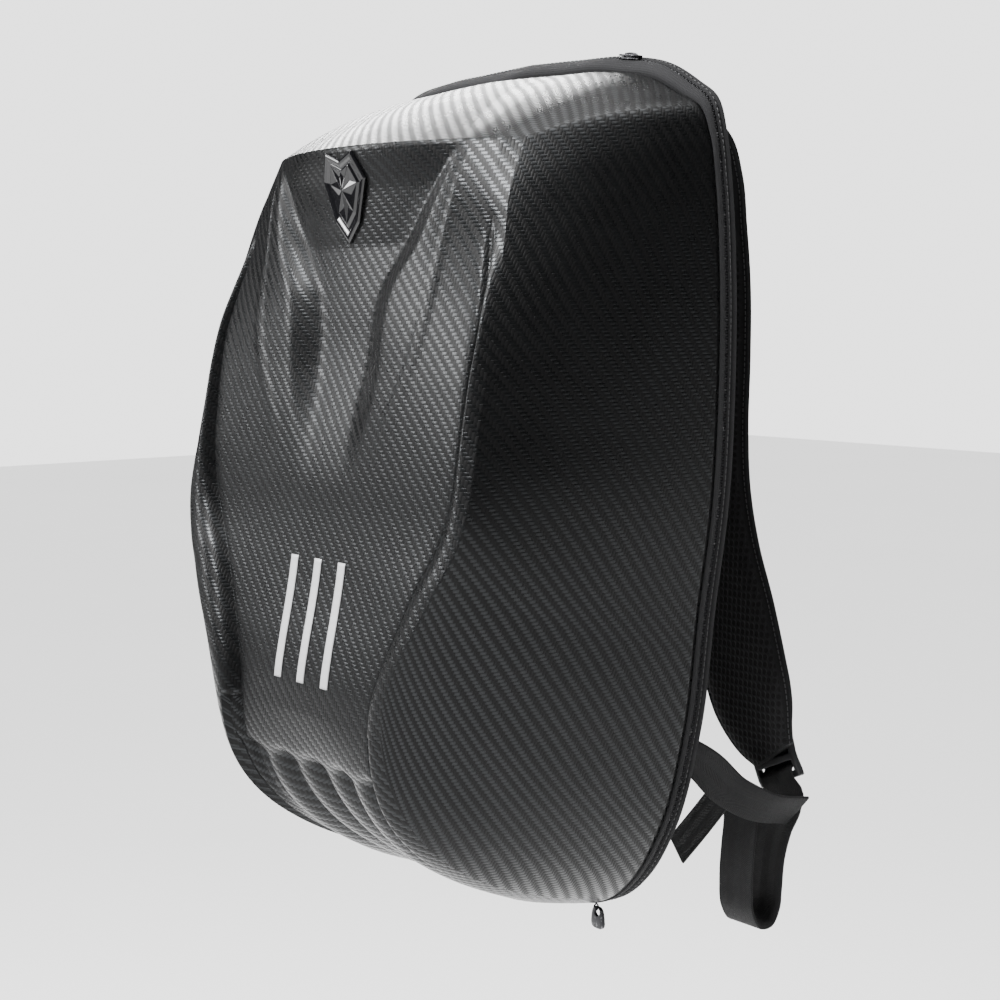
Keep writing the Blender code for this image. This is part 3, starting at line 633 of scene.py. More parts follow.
shellSet = {
    "wall": 2.5 * mm,
    "cells": (6, 10, 8, 10, 10, 12),    # floor, channel foot, slope, plain field, seam, bead
    "rowStep": 2.6 * mm,
    "rings": 48,
    "footRise": 9.6 * mm,           # steep foot of the channel wall, then a gentle slope to the lip
    "footHalf": 12.0 * mm,
    "slopeRise": 1.0 * mm,
    "channelEnd": (0.500, 0.690),
    "channelStart": (0.895, 0.835),
    "beadRise": 4.5 * mm,
    "beadStart": (0.802, 0.688),
    "seamCut": 3.2 * mm,            # dark groove on the inner side of the bead
    "seamHalf": 3.4 * mm,
    "seamStart": (0.815, 0.745),
    "crestRise": 0.8 * mm,          # pressed line along the lip of the channel
    "ribDepth": 6.5 * mm,
    "ribSink": 2.6 * mm,
    "ribSpacing": 28 * mm,
    "ribWindow": (0.13, 0.19, 0.55, 0.88),
    "beadFade": (0.15, 0.60),
    "cornerRow": 5,
    "baseRow": 15,
    "topFall": (0.87, 0.97),
    "footMost": 0.45,               # of the run from floor to lip
    "beadPower": 0.75,              # the lower, the nearer the bead's crest to the groove
    "seamShift": 0.6 * mm,
    "seamSpread": 0.62,
    "crestHalf": 1.6 * mm,
    "crestStart": (0.883, 0.86),
    "ribReach": 2.5,                # ribs stand this many spacings to either side
    "ribPower": 0.9,
    "ringPower": 1.5,
}


def frontLevel(height):
    level = {}
    for name in frontColumns[1:]:
        size = bag["depth"] if name.endswith("epth") else bag["halfWidth"]
        level[name] = float(tableValue(frontRows, frontColumns, name, height)) * size
    level["foot"] = min(shellSet["footHalf"], shellSet["footMost"] * (level["lip"] - level["floor"]))
    return level


def beadShare(level, half):
    # How far out from the groove to the outer edge
    return np.clip((half - level["groove"]) / (level["outer"] - level["groove"]), 0.0, 1.0)


def beadForm(share):
    return shellSet["beadRise"] * np.sin(np.pi * share ** shellSet["beadPower"])


def seamForm(level, half):
    away = (half - level["groove"] - shellSet["seamShift"]) / (shellSet["seamHalf"] * shellSet["seamSpread"])
    return shellSet["seamCut"] * np.exp(-away ** 2)


def frontSurface(level, half, height, beads=True):
    half = np.abs(np.asarray(half, dtype=float))
    bow = (half / level["groove"]) ** 2
    inner = level["centreDepth"] + (level["grooveDepth"] - level["centreDepth"]) * bow
    share = beadShare(level, half)
    outer = level["grooveDepth"] + (level["outerDepth"] - level["grooveDepth"]) * share
    if beads:
        outer = outer + beadForm(share) * ease(*shellSet["beadStart"], height)
    depth = np.where(half <= level["groove"], inner, outer)
    wall = (half - level["floor"]) / (level["lip"] - level["floor"])
    foot = ease(1, -1, (half - level["floor"]) / level["foot"]) * level["foot"] / shellSet["footHalf"]
    channel = ease(*shellSet["channelEnd"], height) * ease(*shellSet["channelStart"], height)
    depth = depth - (shellSet["footRise"] * foot + shellSet["slopeRise"] * ease(1, 0, wall)) * channel
    crest = np.exp(-((half - level["lip"]) / shellSet["crestHalf"]) ** 2)
    depth = depth + shellSet["crestRise"] * crest * channel * ease(*shellSet["crestStart"], height)
    if beads:
        depth = depth - seamForm(level, half) * ease(*shellSet["seamStart"], height)
    return panelRear - depth


def frontHalves(level):
    # Columns of one row, and where each stands between the named lines, 0 to 1
    seam = shellSet["seamHalf"]
    marks = (0.0, level["floor"] - level["foot"], level["floor"] + level["foot"], level["lip"],
             level["groove"] - seam, level["groove"] + seam, level["outer"])
    halves = [0.0]
    for inner, outer, count in zip(marks, marks[1:], shellSet["cells"]):
        halves += [inner + (outer - inner) * step / count for step in range(1, count + 1)]
    lines = (0.0, level["floor"], level["lip"], level["groove"], level["outer"])
    return np.array(halves), np.interp(halves, lines, (0.0, 0.25, 0.5, 0.75, 1.0))


def rimAt(places, drop):
    # Points (x, z) of the back outline at places 0 to 3: top centre, top corner, bottom corner, bottom centre
    half = tableColumn(rimRows, rimColumns, "half") * bag["halfWidth"]
    height = tableColumn(rimRows, rimColumns, "height") * bag["height"]
    low, high = shellSet["topFall"]
    height = height - drop * ease(low * bag["height"], high * bag["height"], height)
    length = runOf(np.stack([half, height], axis=-1))
    stops = (0.0, length[shellSet["cornerRow"]], length[shellSet["baseRow"]], length[-1])
    where = np.interp(places, (0, 1, 2, 3), stops)
    return np.stack([smoothValue(length, half, where), smoothValue(length, height, where) + bagBottom], axis=-1)


def mirrored(values, flip=False):
    # Right half of a loop followed by its left half
    values = np.asarray(values, dtype=float)
    left = values[-2:0:-1].copy()
    if flip:
        left[:, 0] *= -1
    return np.concatenate([values, left])


def frontGrid():
    # Rows of points over the front, with the height, the place on the rim and the column places of each row
    levels = [row[0] for row in frontRows]
    heights = [levels[0]]
    rowPlaces = [1.0]
    for index, (upper, lower) in enumerate(zip(levels, levels[1:])):
        count = max(2, round((upper - lower) * bag["height"] / shellSet["rowStep"]))
        for step in range(1, count + 1):
            heights.append(upper + (lower - upper) * step / count)
            rowPlaces.append(1.0 + (index + step / count) / (len(levels) - 1))
    grid = []
    across = []
    for height in heights:
        level = frontLevel(height)
        halves, spots = frontHalves(level)
        across.append(spots)
        full = np.concatenate([-halves[:0:-1], halves])
        grid.append(np.stack([full, frontSurface(level, full, height), np.full_like(full, atHeight(height))], axis=-1))
    return np.array(grid), heights, rowPlaces, across


def wallRings(start, finish, places, level, below):
    # From the front's border to the back edge along curves that bulge, with beads and ribs on the underside
    forward, outward = (tableValue(wallRows, wallColumns, name, places) for name in wallColumns[1:])
    centre = (start + finish) / 2
    control = np.stack([centre[:, 0] + outward * (finish[:, 0] - centre[:, 0]),
                        centre[:, 1] + forward * (start[:, 1] - centre[:, 1]),
                        centre[:, 2] + outward * (finish[:, 2] - centre[:, 2])], axis=-1)
    half = np.abs(start[:, 0])
    ribbed = half < shellSet["ribReach"] * shellSet["ribSpacing"]
    wave = 1 - np.abs(np.sin(np.pi * half / shellSet["ribSpacing"])) ** shellSet["ribPower"]
    rib = -(shellSet["ribSink"] + shellSet["ribDepth"] * wave)
    bead = beadForm(beadShare(level, half))
    seam = seamForm(level, half)
    ribFrom, ribFull, ribFall, ribTo = shellSet["ribWindow"]
    rings = []
    for share in np.linspace(0, 1, shellSet["rings"] + 1)[1:] ** shellSet["ringPower"]:
        point = start * (1 - share) ** 2 + control * (2 * share * (1 - share)) + finish * share ** 2
        along = (control - start) * (1 - share) + (finish - control) * share
        out = np.stack([np.zeros(len(along)), along[:, 2], -along[:, 1]], axis=-1)
        out /= np.linalg.norm(out, axis=1)[:, None] + 1e-12
        fade = ease(*shellSet["beadFade"][::-1], share)
        ribs = rib * ease(ribFrom, ribFull, share) * ease(ribTo, ribFall, share)
        relief = np.where(ribbed, ribs, bead * fade) - seam * fade
        rings.append(point + out * (relief * below)[:, None])
    return rings


def makeShell():
    grid, heights, rowPlaces, across = frontGrid()
    down, wide = grid.shape[:2]
    middle = wide // 2
    points = list(grid.reshape(-1, 3))
    # the weave follows the length over the moulding, so it doesn't stretch down the steep parts
    steps = np.hypot(np.diff(grid[:, :, 0], axis=1), np.diff(grid[:, :, 1], axis=1))
    arc = np.concatenate([np.zeros((down, 1)), np.cumsum(steps, axis=1)], axis=1)
    arc -= arc[:, middle:middle + 1]
    flat = [(u, p[2]) for u, p in zip(arc.ravel(), points)]
    faces = [(i * wide + j, i * wide + j + 1, (i + 1) * wide + j + 1, (i + 1) * wide + j)
             for i in range(down - 1) for j in range(wide - 1)]
    weave = [flat[k] for face in faces for k in face]

    border = [(0, j) for j in range(middle, wide)] + [(i, wide - 1) for i in range(1, down)]
    border += [(down - 1, j) for j in range(wide - 2, middle - 1, -1)]
    border += [(i, wide - 1 - j) for i, j in border[-2:0:-1]]
    rows, columns = np.array(border).T
    places = list(across[0]) + rowPlaces[1:] + [3.0 - spot for spot in across[-1][-2::-1]]
    rim = mirrored(rimAt(places, bag["topStep"]), flip=True)
    places = mirrored(places)
    start = grid[rows, columns]
    startRun = arc[rows, columns]
    below = rows == down - 1
    level = frontLevel(heights[-1])
    start[below, 1] = frontSurface(level, start[below, 0], heights[-1], beads=False)
    rings = wallRings(start, flatLoop(rim, shellEdge - bag["collar"]), places, level, below)
    rings.append(flatLoop(rim, shellEdge))

    shift = startRun - start[:, 0]
    side = np.where(start[:, 0] < 0, -1.0, 1.0)

    def woven(ring, run):
        # weave coordinates of a ring on the top, the sides and the bottom
        return [np.stack(pair, axis=-1) for pair in ((ring[:, 0] + shift, start[:, 2] + run),
                                                     (startRun + side * run, ring[:, 2]),
                                                     (ring[:, 0] + shift, start[:, 2] - run))]

    count = len(border)
    parts = np.clip((places + np.roll(places, -1)) / 2, 0, 2).astype(int)
    before, last, run = list(rows * wide + columns), start, np.zeros(count)
    lastWoven = woven(last, run)
    for ring in rings:
        run = run + np.linalg.norm(ring - last, axis=1)
        now = [len(points) + k for k in range(count)]
        nowWoven = woven(ring, run)
        points += list(ring)
        for k, part in enumerate(parts):
            nxt = (k + 1) % count
            faces.append((before[k], now[k], now[nxt], before[nxt]))
            weave += [lastWoven[part][k], nowWoven[part][k], nowWoven[part][nxt], lastWoven[part][nxt]]
        before, last, lastWoven = now, ring, nowWoven
    shell = addPiece("carbonShell", carbonTwill, points, faces, weave, turn=False)
    if shell.data.polygons[0].normal.y > 0:
        shell.data.flip_normals()
    shell = bakeWith(shell, "SOLIDIFY", thickness=shellSet["wall"], offset=-1.0, use_rim=True)
    finishPiece(shell, "carbon_look_shell", "shell")


makeShell()
print("shell ready")


def frontPoint(half, z, lift):
    height = (z - bagBottom) / bag["height"]
    return np.array([half, float(frontSurface(frontLevel(height), half, height)) - lift, z])


# Light strips and badge

stripSet = {
    "width": 6.5 * mm, "thick": 0.6 * mm, "pitch": 22 * mm, "top": 0.429, "base": 0.292, "steps": 44,
    "profile": ((-1, 0), (-1, 0.7), (-0.93, 1), (-0.5, 1.05), (0.5, 1.05), (0.93, 1), (1, 0.7), (1, 0)),
    "seat": 0.3,        # of the gap
}


def makeStrips():
    reach = stripSet["width"] / 2
    heights = atHeight(np.linspace(stripSet["top"], stripSet["base"], stripSet["steps"]))
    for name, place in (("left", -1), ("middle", 0), ("right", 1)):
        loops = [[frontPoint(place * stripSet["pitch"] + u * reach, z,
                             bag["gap"] * stripSet["seat"] + v * stripSet["thick"])
                  for u, v in stripSet["profile"]] for z in heights]
        strip = addPiece("lightStrip" + name.title(), reflectiveFilm, *skinLoops(loops))
        finishPiece(strip, "reflective_grey", "strip_" + name)


badgeSet = {
    "halfWidth": 19 * mm, "height": 48 * mm, "top": 0.878, "ridge": 3.6 * mm,
    "outline": ((0.0, 0.10), (0.62, 0.0), (1.0, 0.30), (0.55, 0.78), (0.0, 1.0), (-0.55, 0.78), (-1.0, 0.30),
                (-0.62, 0.0)),
    "crown": 0.42,
    # share of the outline and lift in mm: foot, sloped rim, sunk border, raised centre
    "rings": ((1.0, 0.1), (1.0, 1.5), (0.94, 2.0), (0.84, 1.9), (0.78, 1.0), (0.70, 1.0), (0.64, 2.0)),
    "fold": 0.38, "foldLift": 1.7 * mm, "edge": 0.25 * mm,
}


def makeBadge():
    # Kite of polished facets: a sloped rim, a sunk border and a raised centre cut into facets
    outline = badgeSet["outline"]
    count = len(outline)
    crown = badgeSet["crown"]

    def badgePoint(h, d, share, lift):
        z = atHeight(badgeSet["top"]) - (crown + (d - crown) * share) * badgeSet["height"]
        return frontPoint(h * share * badgeSet["halfWidth"], z, lift)

    points, faces, weave = skinLoops([[badgePoint(h, d, share, lift * mm) for h, d in outline]
                                      for share, lift in badgeSet["rings"]], capped=False)
    inner = len(points) - count
    peak = len(points)
    points.append(badgePoint(0.0, crown, 1.0, badgeSet["ridge"]))
    # folds half way in, low between the corners, so the middle breaks into facets
    fold = len(points)
    for k in range(count):
        nxt = (k + 1) % count
        middle = [(a + b) / 2 for a, b in zip(outline[k], outline[nxt])]
        points.append(badgePoint(*middle, badgeSet["fold"], badgeSet["foldLift"]))
        faces += [(inner + k, inner + nxt, fold + k), (inner + nxt, peak, fold + k), (peak, inner + k, fold + k)]
    faces.append(tuple(range(count)))
    badge = addPiece("badge_facets", glossBlack, points, faces, weave)
    badge.data.shade_flat()
    badge = bakeWith(badge, "BEVEL", width=badgeSet["edge"], segments=2, limit_method="ANGLE",
                     angle_limit=math.radians(12))
    finishPiece(badge, "gloss_black", "badge")


makeStrips()
makeBadge()
print("strips and badge ready")

# Fabric band, back panel and zip

bandSet = {
    "counts": (60, 130, 60),        # points along the top, the side and the bottom
    "spreadAt": (0.0, 0.25, 0.6, 1.0),
    "spread": (0.0, 0.55, 0.92, 1.0),
    # along the depth, lift off the spread surface in mm
    "section": ((0.00, -0.9), (0.00, 0.1), (0.02, 0.55), (0.07, 0.85), (0.16, 0.95), (0.28, 0.95), (0.38, 0.8),
                (0.43, 0.45), (0.455, 0.0), (0.48, -0.35), (0.60, -0.45), (0.72, -0.35), (0.745, 0.0), (0.77, 0.45),
                (0.82, 0.75), (0.90, 0.85), (0.96, 0.6), (1.0, 0.2), (1.0, -1.6), (0.0, -1.6)),
    "flapLift": 1.9 * mm,           # the rain flap over the top stands higher and hangs over the shell
    "flapReach": 2.6 * mm,
    "flapWave": 0.9 * mm,
    "reachWave": 0.8 * mm,
    "waves": ((19 * mm, 0.0, 0.6), (8.3 * mm, 1.0, 0.4)),      # length, phase and share of each
    "flapEnd": (1.12, 0.80),        # places on the rim between which the flap grows
    "flapFront": (0.47, 0.30),      # the same over the depth, for its lift and for its reach
    "hangFront": (0.30, 0.0),
    "zipAt": 0.60,
    "seamAt": 0.88,
    "seamLift": 0.95 * mm,
    "teethLift": -0.25 * mm,
    "overlap": 2 * mm,              # of the weave where the loop closes
}


def loopNormals(loop):
    along = np.roll(loop, -1, axis=0) - np.roll(loop, 1, axis=0)
    normals = np.stack([-along[:, 1], along[:, 0]], axis=-1)
    return normals / np.linalg.norm(normals, axis=1)[:, None]


top, side, base = bandSet["counts"]
bandPlaces = np.concatenate([np.linspace(0, 1, top + 1), np.linspace(1, 2, side + 1)[1:],
                             np.linspace(2, 3, base + 1)[1:]])
bandPlace = mirrored(bandPlaces)
innerRim = mirrored(rimAt(bandPlaces, bag["topStep"]), flip=True)
outerRim = mirrored(rimAt(bandPlaces, 0.0), flip=True)
outerNormals = loopNormals(outerRim)
rimRun = runOf(outerRim)
rimRun = np.append(rimRun, rimRun[-1] + bandSet["overlap"])


def bandLine(along, lift, forward=0.0):
    # Loop of points on the band at a share of its depth
    spread = float(np.interp(along, bandSet["spreadAt"], bandSet["spread"]))
    flat = innerRim + (outerRim - innerRim) * spread + outerNormals * np.asarray(lift).reshape(-1, 1)
    return flatLoop(flat, bandFront + (bandRear - bandFront) * along - forward)


def makeBand():
    overTop = ease(*bandSet["flapEnd"], bandPlace)
    wave = sum(np.sin(outerRim[:, 0] / length + phase) * share for length, phase, share in bandSet["waves"])
    loops = []
    section = bandSet["section"]
    for along, lift in section:
        front = ease(*bandSet["flapFront"], along) * (lift > -0.5)
        raised = lift * mm + front * overTop * (bandSet["flapLift"] + bandSet["flapWave"] * wave)
        hang = ease(*bandSet["hangFront"], along) * (lift > -1.0) * overTop
        loops.append(bandLine(along, raised, hang * (bandSet["flapReach"] + bandSet["reachWave"] * wave)))
    # rings over the section, in turn round the bag
    rings = [[loop[k] for loop in loops] for k in range(len(outerRim))]
    sectionRun = runOf([(along * bag["bandDepth"], lift * mm) for along, lift in section])
    sectionRun = np.append(sectionRun, sectionRun[-1] + bag["bandDepth"])
    band = addPiece("zipBand", bandFabric, *skinLoops(rings, False, rimRun, sectionRun, closed=True))
    finishPiece(band, "band_fabric", "zip_band")


panelSet = {
    # behind a named level, and inset, both in mm; the binding first, then the field as shares of the last loop
    "edge": (("front", 0.0, 0.55), ("front", 0.3, -0.3), ("middle", -1.2, -0.9), ("middle", 0.0, -1.1),
             ("middle", 1.2, -0.9), ("rear", -0.3, -0.3), ("rear", 0.25, 0.8), ("rear", 0.35, 2.5), ("rear", 0.2, 4.2),
             ("rear", -0.35, 4.9), ("rear", -0.4, 5.6)),
    "field": ((0.96, -0.1), (0.90, 0.0), (0.7, 0.0), (0.4, 0.0)),
    "bound": 9,             # loops of binding
    "seamInset": 4.0 * mm,
    "seamLift": 0.3 * mm,
}


def makePanel():
    # Back panel under air mesh, with a bound edge
    levels = {"front": panelFront, "middle": (panelFront + panelRear) / 2, "rear": panelRear}
    loops = [flatLoop(outerRim - outerNormals * (inset * mm), levels[level] + behind * mm)
             for level, behind, inset in panelSet["edge"]]
    last = outerRim - outerNormals * (panelSet["edge"][-1][2] * mm)
    loops += [flatLoop(last * share, panelRear + behind * mm) for share, behind in panelSet["field"]]
    panel = addPiece("backPanel", airMesh, *skinLoops(loops, True, runOf([loop[0] for loop in loops]), rimRun))
    # the binding round the edge is cloth, the field is air mesh
    panel.data.materials.append(bandFabric)
    for polygon in panel.data.polygons[:panelSet["bound"] * len(outerRim)]:
        polygon.material_index = 1
    finishPiece(panel, "pad_fabric", "back_panel")


makeBand()
makePanel()

edgeStitch = (3.4 * mm, 2.3 * mm, 0.26 * mm)
runStitches("bandStitches", [(bandLine(bandSet["seamAt"], bandSet["seamLift"]), True)], "band_fabric", *edgeStitch)
panelSeam = flatLoop(outerRim - outerNormals * panelSet["seamInset"], panelRear + panelSet["seamLift"])
runStitches("panelStitches", [(panelSeam, True)], "pad_fabric", *edgeStitch)
toothInputs = {"Pitch": 1.5 * mm, "Tooth length": 1.5 * mm, "Tooth radius": 0.42 * mm, "Shift": 0.3 * mm,
               "Finish": blackenedMetal}
runAlong("zipTeeth", zipCoil, [(bandLine(bandSet["zipAt"], bandSet["teethLift"]), True)], toothInputs, "zip_metal")
print("band, panel and zip ready")

# Back pads, puffed with cloth

padSet = {
    "rows": (("Upper", "back_pad_upper", 0.68, 0.815, 0.70, 0.475, (0.70, 0.59)),
             ("Lower", "back_pad_lower", 0.69, 0.445, 0.52, 0.130, (0.345, 0.235))),
    # behind the front and inset, in mm
    "section": ((0.0, 1.5), (1.2, 0.4), (4.0, 0.0), (6.5, 0.8), (8.0, 3.0), (8.6, 7.0)),
    "lift": 0.2 * mm,
    "corner": 24 * mm,
    "cornerSteps": 8,
    "shrink": 1.2 * mm,
    "voxel": 5 * mm,
    "seat": 2.5 * mm,
    "pressure": 4.0,
    "quality": 5,
    "frames": 20,
    "mostMove": 4 * mm,
    "channelFrom": 4 * mm,
    "channelCut": 2.2 * mm,
    "channelHalf": 3.2 * mm,
}


def roundedOutline(corners, radius, steps):
    outline = []
    for k in range(len(corners)):
        corner = Vector(corners[k])
        toLast = (Vector(corners[k - 1]) - corner).normalized()
        toNext = (Vector(corners[(k + 1) % len(corners)]) - corner).normalized()
        bend = toLast.angle(toNext)
        centre = corner + (toLast + toNext).normalized() * (radius / math.sin(bend / 2))
        first, final = (corner + way * (radius / math.tan(bend / 2)) - centre for way in (toLast, toNext))
        start = math.atan2(first.y, first.x)
        sweep = (math.atan2(final.y, final.x) - start + math.pi) % (2 * math.pi) - math.pi
        for angle in start + sweep * np.linspace(0, 1, steps + 1):
            outline.append(tuple(centre + Vector((math.cos(angle), math.sin(angle))) * radius))
    return np.array(outline)


def puffPad(piece):
    # A short cloth run under pressure with the seat side held
    rest = np.array([v.co for v in piece.data.vertices])
    seat = piece.vertex_groups.new(name="seat")
    held = np.flatnonzero(rest[:, 1] < panelRear + bag["gap"] + padSet["seat"])
    seat.add([int(index) for index in held], 1.0, "REPLACE")
    cloth = piece.modifiers.new("Puff", "CLOTH")
    cloth.settings.vertex_group_mass = "seat"
    cloth.settings.use_pressure = True
    cloth.settings.uniform_pressure_force = padSet["pressure"]
    cloth.settings.effector_weights.gravity = 0.0
    cloth.settings.quality = padSet["quality"]
    cloth.collision_settings.use_collision = False
    scene = bpy.context.scene
    for step in range(1, padSet["frames"] + 1):
        scene.frame_set(step)
    depsgraph = bpy.context.evaluated_depsgraph_get()
    puffed = piece.evaluated_get(depsgraph).to_mesh()
    moved = np.array([v.co for v in puffed.vertices]) - rest
    scene.frame_set(1)
    piece.modifiers.clear()
    length = np.linalg.norm(moved, axis=1)
    keep = np.minimum(1.0, padSet["mostMove"] / np.maximum(length, 1e-9))
    for vertex, place in zip(piece.data.vertices, rest + moved * keep[:, None]):
        vertex.co = place


def makePads():
    front = panelRear + bag["gap"] + padSet["lift"]
    for label, node, topHalf, top, baseHalf, base, channels in padSet["rows"]:
        shares = ((-topHalf, top), (topHalf, top), (baseHalf, base), (-baseHalf, base))
        outline = roundedOutline([(half * bag["halfWidth"], atHeight(height)) for half, height in shares],
                                 padSet["corner"], padSet["cornerSteps"])
        inward = -loopNormals(outline)
        loops = [flatLoop(outline + inward * (inset * mm + padSet["shrink"]), front + behind * mm)
                 for behind, inset in padSet["section"]]
        pad = addPiece("backPad" + label, airMesh, *skinLoops(loops))
        pad = bakeWith(pad, "REMESH", mode="VOXEL", voxel_size=padSet["voxel"])
        puffPad(pad)
        pad = bakeWith(pad, "SUBSURF", levels=1, render_levels=1)
        pad.data.materials.clear()
        pad.data.materials.append(airMesh)
        # sewn channels across the pad
        for vertex in pad.data.vertices:
            if vertex.co.y > front + padSet["channelFrom"]:
                for share in channels:
                    away = (vertex.co.z - atHeight(share)) / padSet["channelHalf"]
                    vertex.co.y -= padSet["channelCut"] * math.exp(-away ** 2)
        pad.data.shade_smooth()
        finishPiece(pad, "pad_fabric", node)
        print("pad", label, len(pad.data.vertices))


makePads()

# Straps and webbing: half is a share of the half width, stand of the reach, height of the bag's height

strapColumns = ("half", "stand", "height", "width", "tilt")
strapRows = (
    (0.455, 0.00, 0.915, 0.92, 0), (0.458, 0.30, 0.924, 0.94, 0), (0.462, 0.62, 0.922, 0.96, 0),
    (0.464, 0.87, 0.900, 0.97, 0), (0.466, 1.00, 0.860, 0.97, 0), (0.480, 1.03, 0.800, 0.97, 0),
    (0.500, 1.03, 0.730, 0.98, 0), (0.500, 1.03, 0.650, 1.00, 0), (0.495, 1.03, 0.570, 1.00, 0),
    (0.510, 1.03, 0.490, 1.00, 0), (0.570, 1.03, 0.410, 0.98, 3), (0.648, 1.02, 0.340, 1.00, 8),
    (0.704, 1.01, 0.280, 1.02, 14), (0.756, 1.00, 0.240, 0.96, 20), (0.806, 1.00, 0.210, 0.78, 26),
    (0.861, 1.00, 0.186, 0.52, 28),
)
strapSet = {
    "width": 64 * mm, "thick": 11 * mm, "stand": 60 * mm, "steps": 110, "edgeShare": 0.885, "edgeThick": 0.34,
    # the foam swells a little between its seat and the lock, and thins towards the lock
    "lean": 0.72, "swell": 0.30, "seatRun": 0.05, "lockRun": 0.93,
    "crease": 0.05, "creaseAt": 150 * mm, "creaseHalf": 12 * mm,
    "seams": ((-0.455, 0.5), (-0.455, -0.5), (0.455, 0.5), (0.455, -0.5)), "seamSink": 0.95,
    "stitch": (3.2 * mm, 2.2 * mm, 0.25 * mm),
    "dip": 0.55, "foam": (5, 0.45), "edgeRise": 1.6, "edgePower": 6,     # powers of the two parts of the section
}
webbingColumns = ("half", "stand", "height", "turn", "tilt")
anchorRows = (
    (0.740, 0.00, 0.204, 10, 50), (0.775, 0.22, 0.186, 4, 44), (0.820, 0.50, 0.147, 6, 50),
    (0.900, 0.68, 0.131, 0, 48), (0.936, 1.005, 0.122, 0, 48),
)
loopRows = (
    (0.862, 1.00, 0.128, 0, 14), (0.822, 1.00, 0.098, 0, 7), (0.790, 1.00, 0.060, 0, 2), (0.778, 1.00, 0.018, 0, 0),
    (0.774, 0.99, -0.004, 0, 0), (0.772, 0.91, -0.022, 0, 0), (0.770, 0.78, -0.022, 0, 0), (0.768, 0.69, -0.004, 0, 0),
    (0.765, 0.67, 0.030, 0, 0), (0.768, 0.68, 0.070, 0, 0), (0.766, 0.71, 0.100, 0, 2),
    (0.756, 0.735, 0.128, 0, 6),
)
# height up the lock and stand off its middle, in mm, of the webbing that threads it and of the strap's tab
threadPath = ((4.6, 1.0), (3.4, 2.2), (1.5, 2.6), (-0.8, 2.6), (-3.2, 2.1), (-5.0, -0.4), (-6.9, -3.1), (-9.5, -3.6),
              (-12.0, -3.5), (-14.5, -2.4), (-17.5, -0.8))
tabPath = ((38, -1.8), (28, -2.0), (20, -2.4), (16, -1.2), (13.4, 2.2), (11.5, 3.45), (9.0, 3.45), (7.1, 2.4),
           (6.8, 0.6), (6.9, -1.2))
endRows = (
    (0.722, 0.606, 0.1395, -29, -23), (0.665, 0.56, 0.112, -29, -23), (0.615, 0.49, 0.086, -29, -23),
    (0.568, 0.42, 0.062, -29, -23),
)
webbingSet = {
    "width": 25 * mm, "thick": 1.6 * mm,
    "half": ((0.5, 0.2), (0.49, 0.42), (0.47, 0.5), (0.3, 0.5), (0.0, 0.5), (-0.3, 0.5), (-0.47, 0.5), (-0.49, 0.42),
             (-0.5, 0.2)),
    "tackReach": 0.40, "tackLift": 0.52, "tackSpots": 9, "tack": (1.6 * mm, 1.5 * mm, 0.28 * mm),
}
lockSet = {"width": 32 * mm, "height": 24 * mm, "thick": 5 * mm, "bar": 4 * mm, "side": 3 * mm,
           "place": (0.822, 0.173), "tilt": 25, "edge": 0.9 * mm, "outerLean": 0.14, "middleBack": 0.8}


def routeLine(rows, names, steps, reach):
    x = tableColumn(rows, names, "half") * bag["halfWidth"]
    y = tableColumn(rows, names, "stand") * reach + panelRear + bag["gap"]
    z = atHeight(tableColumn(rows, names, "height"))
    stations = runOf(np.stack([x, y, z], axis=-1))
    where = np.linspace(0.0, stations[-1], steps + 1)
    line = {"points": [Vector(p) for p in zip(*(smoothValue(stations, v, where) for v in (x, y, z)))], "run": where}
    for name in names[3:]:
        line[name] = smoothValue(stations, tableColumn(rows, names, name), where)
    return line


def lineFrames(line, heading=None):
    # Directions across the band and through it, at each spot
    spots = line["points"]
    frames = []
    for k in range(len(spots)):
        along = (spots[min(k + 1, len(spots) - 1)] - spots[max(k - 1, 0)]).normalized()
        if k == 0 and heading is not None:
            along = heading
        tilt = math.radians(line["tilt"][k])
        turn = math.radians(line["turn"][k]) if "turn" in line else 0.0
        across = Vector((math.cos(tilt) * math.cos(turn), math.cos(tilt) * math.sin(turn), math.sin(tilt)))
        across = (across - along * across.dot(along)).normalized()
        frames.append((across, across.cross(along)))
    return frames


def sweepLoops(line, frames, profile, width, thick, side):
    # The profile at each spot; width and thick are one value or one for each spot
    spots = line["points"]
    loops = []
    for k, (spot, (across, through)) in enumerate(zip(spots, frames)):
        wide, deep = (float(np.broadcast_to(size, len(spots))[k]) for size in (width, thick))
        points = [spot + across * (u * wide) + through * (v * deep) for u, v in profile]
        loops.append([(p.x * side, p.y, p.z) for p in points])
    return loops


def profileRun(profile, width, thick):
    return runOf([(u * width, v * thick) for u, v in profile + profile[:1]])


def strapProfile():
    # Foam in the middle, a sewn dip, then the thin bound edge
    edge, thin, dip = strapSet["edgeShare"], strapSet["edgeThick"], strapSet["dip"]
    foamRun, foamPower = strapSet["foam"]
    half = []
    for u in np.linspace(-1, 1, 37):
        size = abs(u)
        if size <= edge:
            v = thin * dip + (1.0 - thin * dip) * (1 - (size / edge) ** foamRun) ** foamPower
        else:
            rest = (size - edge) / (1 - edge)
            rise = math.sin(min(1.0, rest * strapSet["edgeRise"]) * math.pi / 2)
            v = thin * (dip + (1 - dip) * rise) * math.sqrt(max(0.0, 1 - rest ** strapSet["edgePower"]))
        half.append((u / 2, v / 2))
    return half + [(u, -v) for u, v in half[-2:0:-1]]


